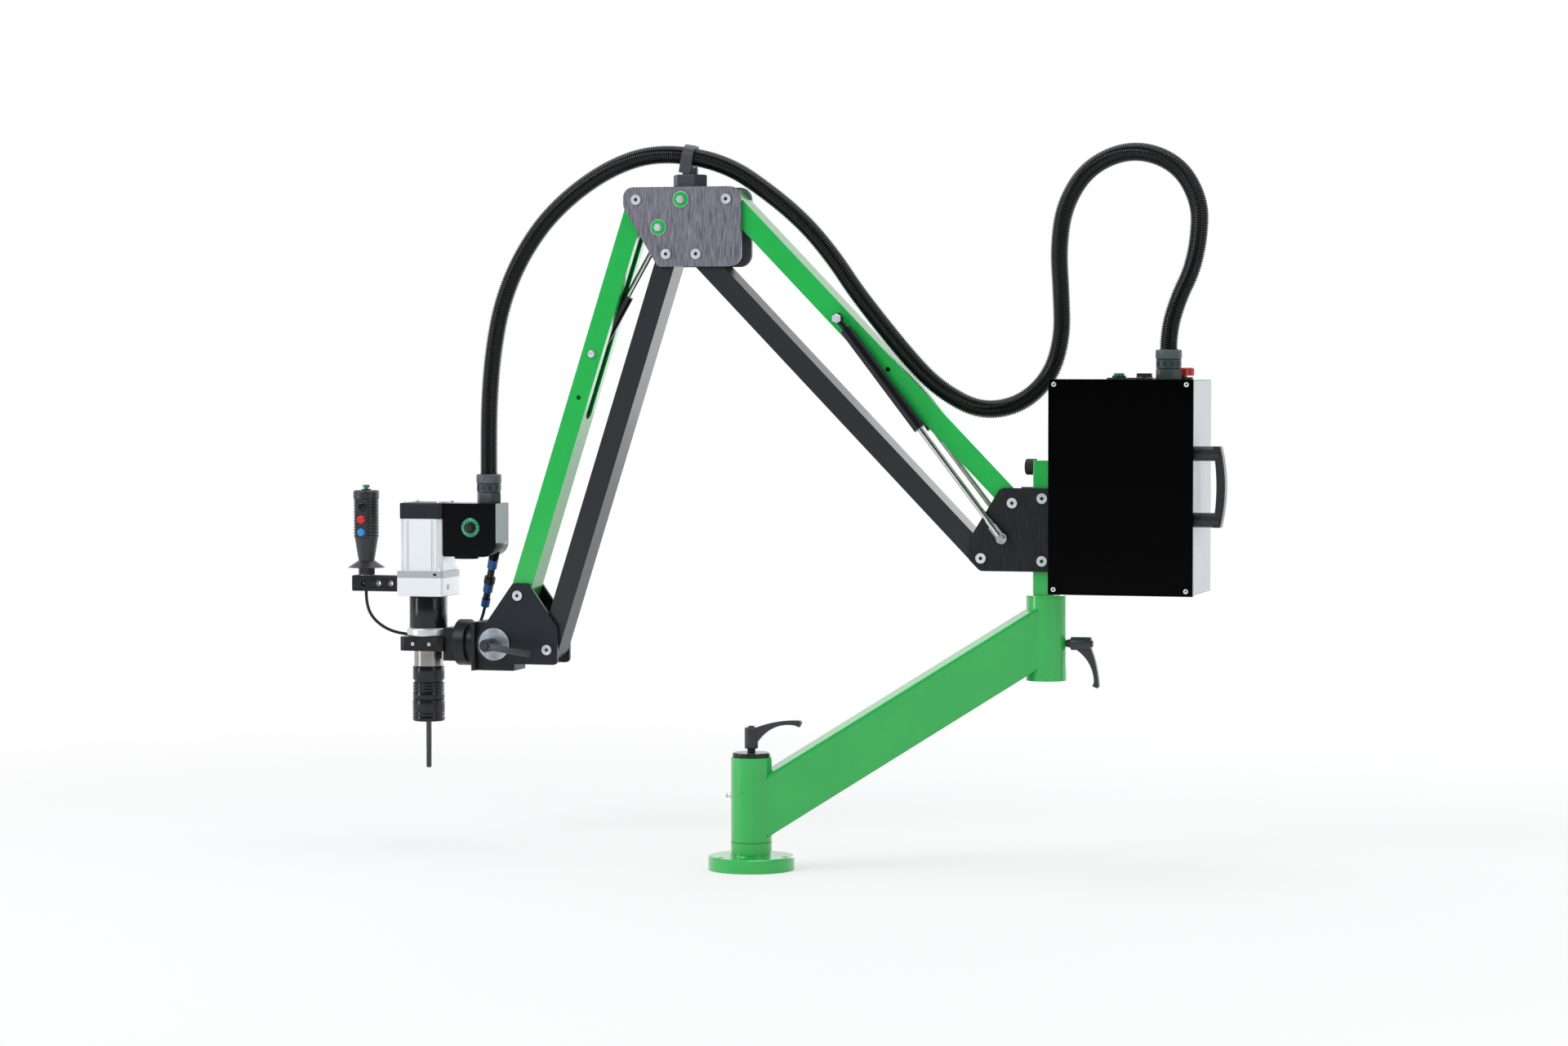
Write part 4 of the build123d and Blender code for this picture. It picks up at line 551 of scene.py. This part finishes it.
def sockets(name, places, body):
    """Hexagon sockets in the heads of the bolts at several places, on both sides, near-black inside as
    painted shade.
    """
    vertices, faces = [], []
    for x, z in places:
        for side in (1, -1):
            first = len(vertices)
            for r, h in ((3.35, 0), (3.35, 1.5), (2.6, 1.5), (2.4, 0.6)):
                for i in range(6):
                    a = pi * i / 3 + 0.3
                    vertices.append(at(x + r * cos(a), z + r * sin(a), side * (BOLT_HEAD_OUT - 1.9 + h)))
            for j in (first, first + 6, first + 12):
                for i in range(6):
                    k = (i + 1) % 6
                    faces.append((j + i, j + k, j + 6 + k, j + 6 + i)[::side])
            faces.append(tuple(first + 18 + i for i in range(6))[::side])
    mesh_object(name, vertices, faces, recess_shade, body, False)


sockets("bracket_sockets", [bracket_up, bracket_low, (col_x / MM, 569), (col_x / MM, 686)], "column")
sockets("elbow_sockets", [(elbow_rear.x - x, elbow_rear.z - z) for x, z in
                          ((0, 0), (60, 104), (180, 0), (120, 104))], "elbow")
sockets("head_sockets", [head_up, head_low], "head_plates")

# ---------------------------------------------------------------- gas spring pins
for side, tag in ((1, "near"), (-1, "far")):
    turned("spring_nut_" + tag, at(109.688, 1021.964, side * 53), (0, -side, 0),
           [(9.4, 0.1), (9.4, 5.2), (8.2, 6.2), (4.4, 6.2), (4.2, 8.4), (3.4, 9.0)], zinc,
           "rear_spring_cylinders", 6)
    turned("front_pin_head_" + tag, at(-386.354, 955.182, side * 30.3), (0, -side, 0),
           [(8.0, 0.1), (8.0, 2.0), (6.8, 4.2), (3.2, 4.6), (2.8, 3.6)], zinc,
           "front_spring_cylinder", 32)

# ---------------------------------------------------------------- elbow details
for name, x, z in (("washer_upper", elbow_rear.x - 90, elbow_rear.z),
                   ("washer_lower", elbow_rear.x - 135, elbow_rear.z - 53)):
    for side, tag in ((1, "near"), (-1, "far")):
        turned(name + "_" + tag, at(x, z, side * 39.5), (0, -side, 0),
               [(7.6, 0.1), (14.7, 0.1), (14.7, 2.6), (14.0, 3.3), (7.6, 3.3)], green, "elbow", 44)

# the clip's band goes straight down past the hose on both sides
for side, tag in ((1, "near"), (-1, "far")):
    corners = [at(clip.x + a * cos(CLIP_LEAN) + n * sin(CLIP_LEAN),
                  clip.z - a * sin(CLIP_LEAN) + n * cos(CLIP_LEAN), side * out)
               for n in (-33, 0) for out in (18.3, 22) for a in (-11, 11)]
    faces = [(0, 1, 3, 2), (4, 6, 7, 5), (0, 4, 5, 1), (2, 3, 7, 6), (0, 2, 6, 4), (1, 5, 7, 3)]
    mesh_object("clip_leg_" + tag, corners, [f[::-side] for f in faces], gland_plastic, "elbow", False)


# ---------------------------------------------------------------- conduit glands
def gland(name, x, foot, body):
    """A conduit gland in its three tiers, a hexagon and two rings, with near-black patches of painted
    shade over the latch windows.
    """
    base = at(x, foot)
    tiers = (("hexagon", [(23.9, 0), (24.2, 1), (24.2, 19.4), (23, 21), (21, 21)], gland_plastic, 6),
             ("latch", [(21, 21), (23.4, 22), (23.4, 37), (22.2, 38.2), (21, 38.2)], gland_plastic, 48),
             ("collar", [(21, 38.2), (23.8, 38.8), (24.5, 40), (24.5, 54.4), (23, GLAND_HIGH),
                         (17.9, GLAND_HIGH)], gland_ring, 48))
    for tag, profile, material, count in tiers:
        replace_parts(turned(name + "_" + tag, base, (0, 0, 1), profile, material, body, count), name)
    # near-black patches over the latch windows: painted shade
    vertices, faces = [], []
    for i in range(10):
        for da, z in ((-0.13, 26), (0.13, 26), (0.13, 34.5), (-0.13, 34.5)):
            a = 2 * pi * (i + 0.25) / 10 + da
            vertices.append(base + Vector((23.55 * cos(a), 23.55 * sin(a), z)) * MM)
        faces.append(tuple(range(4 * i, 4 * i + 4)))
    mesh_object(name + "_window_shade", vertices, faces, recess_shade, body, False)


gland("box_gland", gland_x, GLAND_FOOT, "column")
gland("motor_gland", motor_gland_x, CAP_TOP, "head")

# ---------------------------------------------------------------- head details
turned("grip_washer", at(grip_x, BAR_TOP), (0, 0, 1), [(14.5, 0.1), (14.5, 0.9), (12.1, 0.9)], brass,
       "head", 40)
for i, (x, out) in enumerate(((-36, 36), (36, 36), (-36, -36), (36, -36))):
    screw("cap_bolt_%d" % i, at(spin_x + x, CAP_TOP, out), (0, 0, 1), 3.8, 3.4, "head")
# painted shade in the grooves between the grip's ribs: near-black bands all round but for the pad of the
# buttons
vertices, faces = [], []
steps = 44
for i in range(13):
    first, low = len(vertices), GRIP_FOOT + 5.45 + 6 * i
    for k in range(steps + 1):
        a = radians(-90 + 31 + 298 * k / steps)
        vertices += [at(grip_x + r * cos(a), low + h, -r * sin(a))
                     for r, h in ((22.4, 0), (23.05, 0), (23.05, 2.3), (22.4, 2.3))]
    for k in range(steps):
        for j in range(4):
            n, m = first + 4 * k + j, first + 4 * k + (j + 1) % 4
            faces.append((n, n + 4, m + 4, m))
    faces += [(first, first + 1, first + 2, first + 3),
              tuple(first + 4 * steps + j for j in (3, 2, 1, 0))]
mesh_object("grip_groove_shade", vertices, faces, recess_shade, "head")
for i, x in enumerate((-17, 17)):
    screw("clamp_screw_%d" % i, at(spin_x + x, tilt.z - 3, 42 - 0.8), (0, -1, 0), 3.6, 1.4, "head")
# the ring and the marks round the speed knob
dial = at(spin_x + 102, CAP_TOP - 47, 36)
turned("speed_dial", dial, (0, -1, 0),
       [(10.6, 0.05), (18.5, 0.05), (18.5, 0.9), (17.8, 1.3), (10.6, 1.3)], green_button, "head", 56)
for i in range(11):
    a = radians(-135 + 27 * i)
    centre = dial + Vector((sin(a) * 14.6, -1.32, cos(a) * 14.6)) * MM
    radial = Vector((sin(a), 0, cos(a)))
    side = Vector((cos(a), 0, -sin(a)))
    half, wide = (2.4 if i % 5 == 0 else 1.6) * MM, 0.35 * MM
    corners = [centre + radial * half + side * wide, centre + radial * half - side * wide,
               centre - radial * half - side * wide, centre - radial * half + side * wide]
    mesh_object("dial_mark_%d" % i, corners, [(0, 1, 2, 3)], white_marks, "head", False)

# painted shade: a near-black patch in the cable notch of the motor's flange, and darker lines along the
# shallow flutes of its extruded case
FLANGE_OUT, CASE_OUT = 48.08, 44.07
mesh_object("motor_notch_shade", [at(spin_x + x, z, FLANGE_OUT) for x, z in
                            ((28.5, 523.4), (35.5, 523.4), (35.5, 528.2), (28.5, 528.2))],
            [(0, 1, 2, 3)], recess_shade, "head", False)
vertices, faces = [], []
for x in (-27, -24, 24, 27):
    first = len(vertices)
    for side in (-0.35, 0.35):
        for z in (534.5, 632.5):
            vertices.append(at(spin_x + x + side, z, CASE_OUT))
    faces.append((first, first + 2, first + 3, first + 1))
mesh_object("motor_flute_shade", vertices, faces, drive_plastic, "head", False)

# ---------------------------------------------------------------- arm and base details
turned("arm_end_cap", at(head_low[0] + 19.7, head_low[1] + 6), (cos(FRONT_ANGLE), 0, -sin(FRONT_ANGLE)),
       [(0.001, -0.6), (14, -0.6), (14, 1.3), (13, 1.9), (6, 2.2), (5.6, 1.5), (0.001, 1.5)], zinc,
       "front_lower", 44)
turned("grease_nipple", Vector((-0.0376, 0, 0.136)), (-1, 0, 0),
       [(5.6, 0), (5.6, 3.4), (3.2, 4.6), (2.8, 7.6), (4.2, 9.0), (4.2, 10.6), (2.4, 12.4),
        (0.001, 12.8)], zinc, "extension", 24)


def weld_ring(name, centre, radius, bead, body, material):
    """A weld bead round a vertical axis, slightly rippled."""
    count, sides = 90, 8
    vertices, faces = [], []
    for i in range(count + 1):
        a = radians(360 * i / count)
        b = bead * (1 + 0.12 * sin(i * 1.9))
        for k in range(sides):
            c = 2 * pi * k / sides
            r = radius + b * cos(c)
            vertices.append(centre + Vector((r * cos(a), r * sin(a), b * sin(c))) * MM)
    for i in range(count):
        for k in range(sides):
            n = (k + 1) % sides
            faces.append((i * sides + k, i * sides + n, (i + 1) * sides + n, (i + 1) * sides + k))
    mesh_object(name, vertices, faces, material, body)


weld_ring("weld_post", Vector((0, 0, 26 * MM)), 38.4, 1.6, "base", green)
# a thin near-black ring where the sleeve meets the post: painted shade for the gap line between them
turned("post_gap_shade", Vector((0, 0, 51.2 * MM)), (0, 0, 1),
       [(37.5, 0), (38.15, 0.1), (38.15, 1.1), (37.5, 1.2)], black_rubber, "base", 72)

# ---------------------------------------------------------------- stage
floor_data = bpy.data.meshes.new("floor")
floor_data.from_pydata([(-14, -12, 0), (14, -12, 0), (14, 16, 0), (-14, 16, 0)], [], [(0, 1, 2, 3)])
floor = bpy.data.objects.new("floor", floor_data)
bpy.context.scene.collection.objects.link(floor)
floor_paint, tree, shader = new_material("floor_paint")
shader.inputs["Base Color"].default_value = (0.86, 0.86, 0.86, 1)
shader.inputs["Roughness"].default_value = 0.8
glow = node(tree, "ShaderNodeEmission")
glow.inputs["Color"].default_value = (1, 1, 1, 1)
mix = node(tree, "ShaderNodeMixShader")
rays = node(tree, "ShaderNodeLightPath")
seen = node(tree, "ShaderNodeMath", operation="MAXIMUM")
link(tree, rays, "Is Camera Ray", seen, 0)
link(tree, rays, "Is Glossy Ray", seen, 1)
# the glow takes over away from the object, so that the floor's far edge melts into the white
place = node(tree, "ShaderNodeTexCoord")
far_out = node(tree, "ShaderNodeVectorMath", operation="LENGTH")
link(tree, place, "Object", far_out, 0)
fade = map_range(tree, (0.9, 3.4), (0.55, 1.0), interpolation_type="SMOOTHSTEP")
link(tree, far_out, "Value", fade, "Value")
share = node(tree, "ShaderNodeMath", operation="MULTIPLY")
link(tree, fade, "Result", share, 1)
link(tree, seen, "Value", share, 0)
link(tree, share, "Value", mix, "Fac")
tree.links.new(shader.outputs["BSDF"], mix.inputs[1])
tree.links.new(glow.outputs["Emission"], mix.inputs[2])
tree.links.new(mix.outputs["Shader"], tree.nodes["Material Output"].inputs["Surface"])
floor_data.materials.append(floor_paint)

world = bpy.data.worlds.new("world")
bpy.context.scene.world = world
world.use_nodes = True
tree = world.node_tree
plain = tree.nodes["Background"]
plain.inputs["Color"].default_value = (1, 1, 1, 1)
plain.inputs["Strength"].default_value = 0.5
# the studio that metal and gloss reflect: white behind the object, dim on the viewer's side
white = node(tree, "ShaderNodeBackground")
white.inputs["Strength"].default_value = 1.0
place = node(tree, "ShaderNodeTexCoord")
split = node(tree, "ShaderNodeSeparateXYZ")
link(tree, place, "Generated", split, "Vector")
fade = map_range(tree, (-0.55, 0.25), (0.04, 1.0))
link(tree, split, "Y", fade, "Value")
rays = node(tree, "ShaderNodeLightPath")
tone = node(tree, "ShaderNodeMath", operation="MAXIMUM")
link(tree, fade, "Result", tone, 0)
link(tree, rays, "Is Camera Ray", tone, 1)
link(tree, tone, "Value", white, "Color")
seen = node(tree, "ShaderNodeMath", operation="MAXIMUM")
link(tree, rays, "Is Camera Ray", seen, 0)
link(tree, rays, "Is Glossy Ray", seen, 1)
both = node(tree, "ShaderNodeMath", operation="MAXIMUM")
link(tree, seen, "Value", both, 0)
link(tree, rays, "Is Transmission Ray", both, 1)
mix = node(tree, "ShaderNodeMixShader")
link(tree, both, "Value", mix, "Fac")
tree.links.new(plain.outputs["Background"], mix.inputs[1])
tree.links.new(white.outputs["Background"], mix.inputs[2])
tree.links.new(mix.outputs["Shader"], tree.nodes["World Output"].inputs["Surface"])


def lamp(name, place, target, size, power, high=None):
    """A panel lamp of some watts, size metres wide and high, or as high as told."""
    data = bpy.data.lights.new(name, "AREA")
    data.shape, data.size, data.size_y = "RECTANGLE", size, high or size
    data.energy = power
    data.color = (0.93, 0.97, 1.0)
    o = bpy.data.objects.new(name, data)
    o.location = place
    o.rotation_mode = "QUATERNION"
    o.rotation_quaternion = (Vector(target) - Vector(place)).to_track_quat("-Z", "Y")
    bpy.context.scene.collection.objects.link(o)


lamp("key", (-2.6, -3.4, 3.6), (0, 0.2, 0.7), 2.2, 98)
lamp("fill", (3.6, -2.2, 1.8), (0.2, 0.2, 0.7), 1.6, 26, 2.6)
lamp("top", (0.2, 0.6, 4.2), (0, 0.3, 0.5), 2.4, 60)
lamp("back", (1.0, 3.6, 0.95), (0.2, 0.3, 0.75), 3.2, 26, 1.7)
lamp("strip", (-4.6, -2.4, 1.3), (-0.4, 0.2, 0.8), 0.9, 52, 2.8)

# ---------------------------------------------------------------- view transform
bpy.context.scene.view_settings.view_transform = "Standard"
bpy.context.view_layer.update()
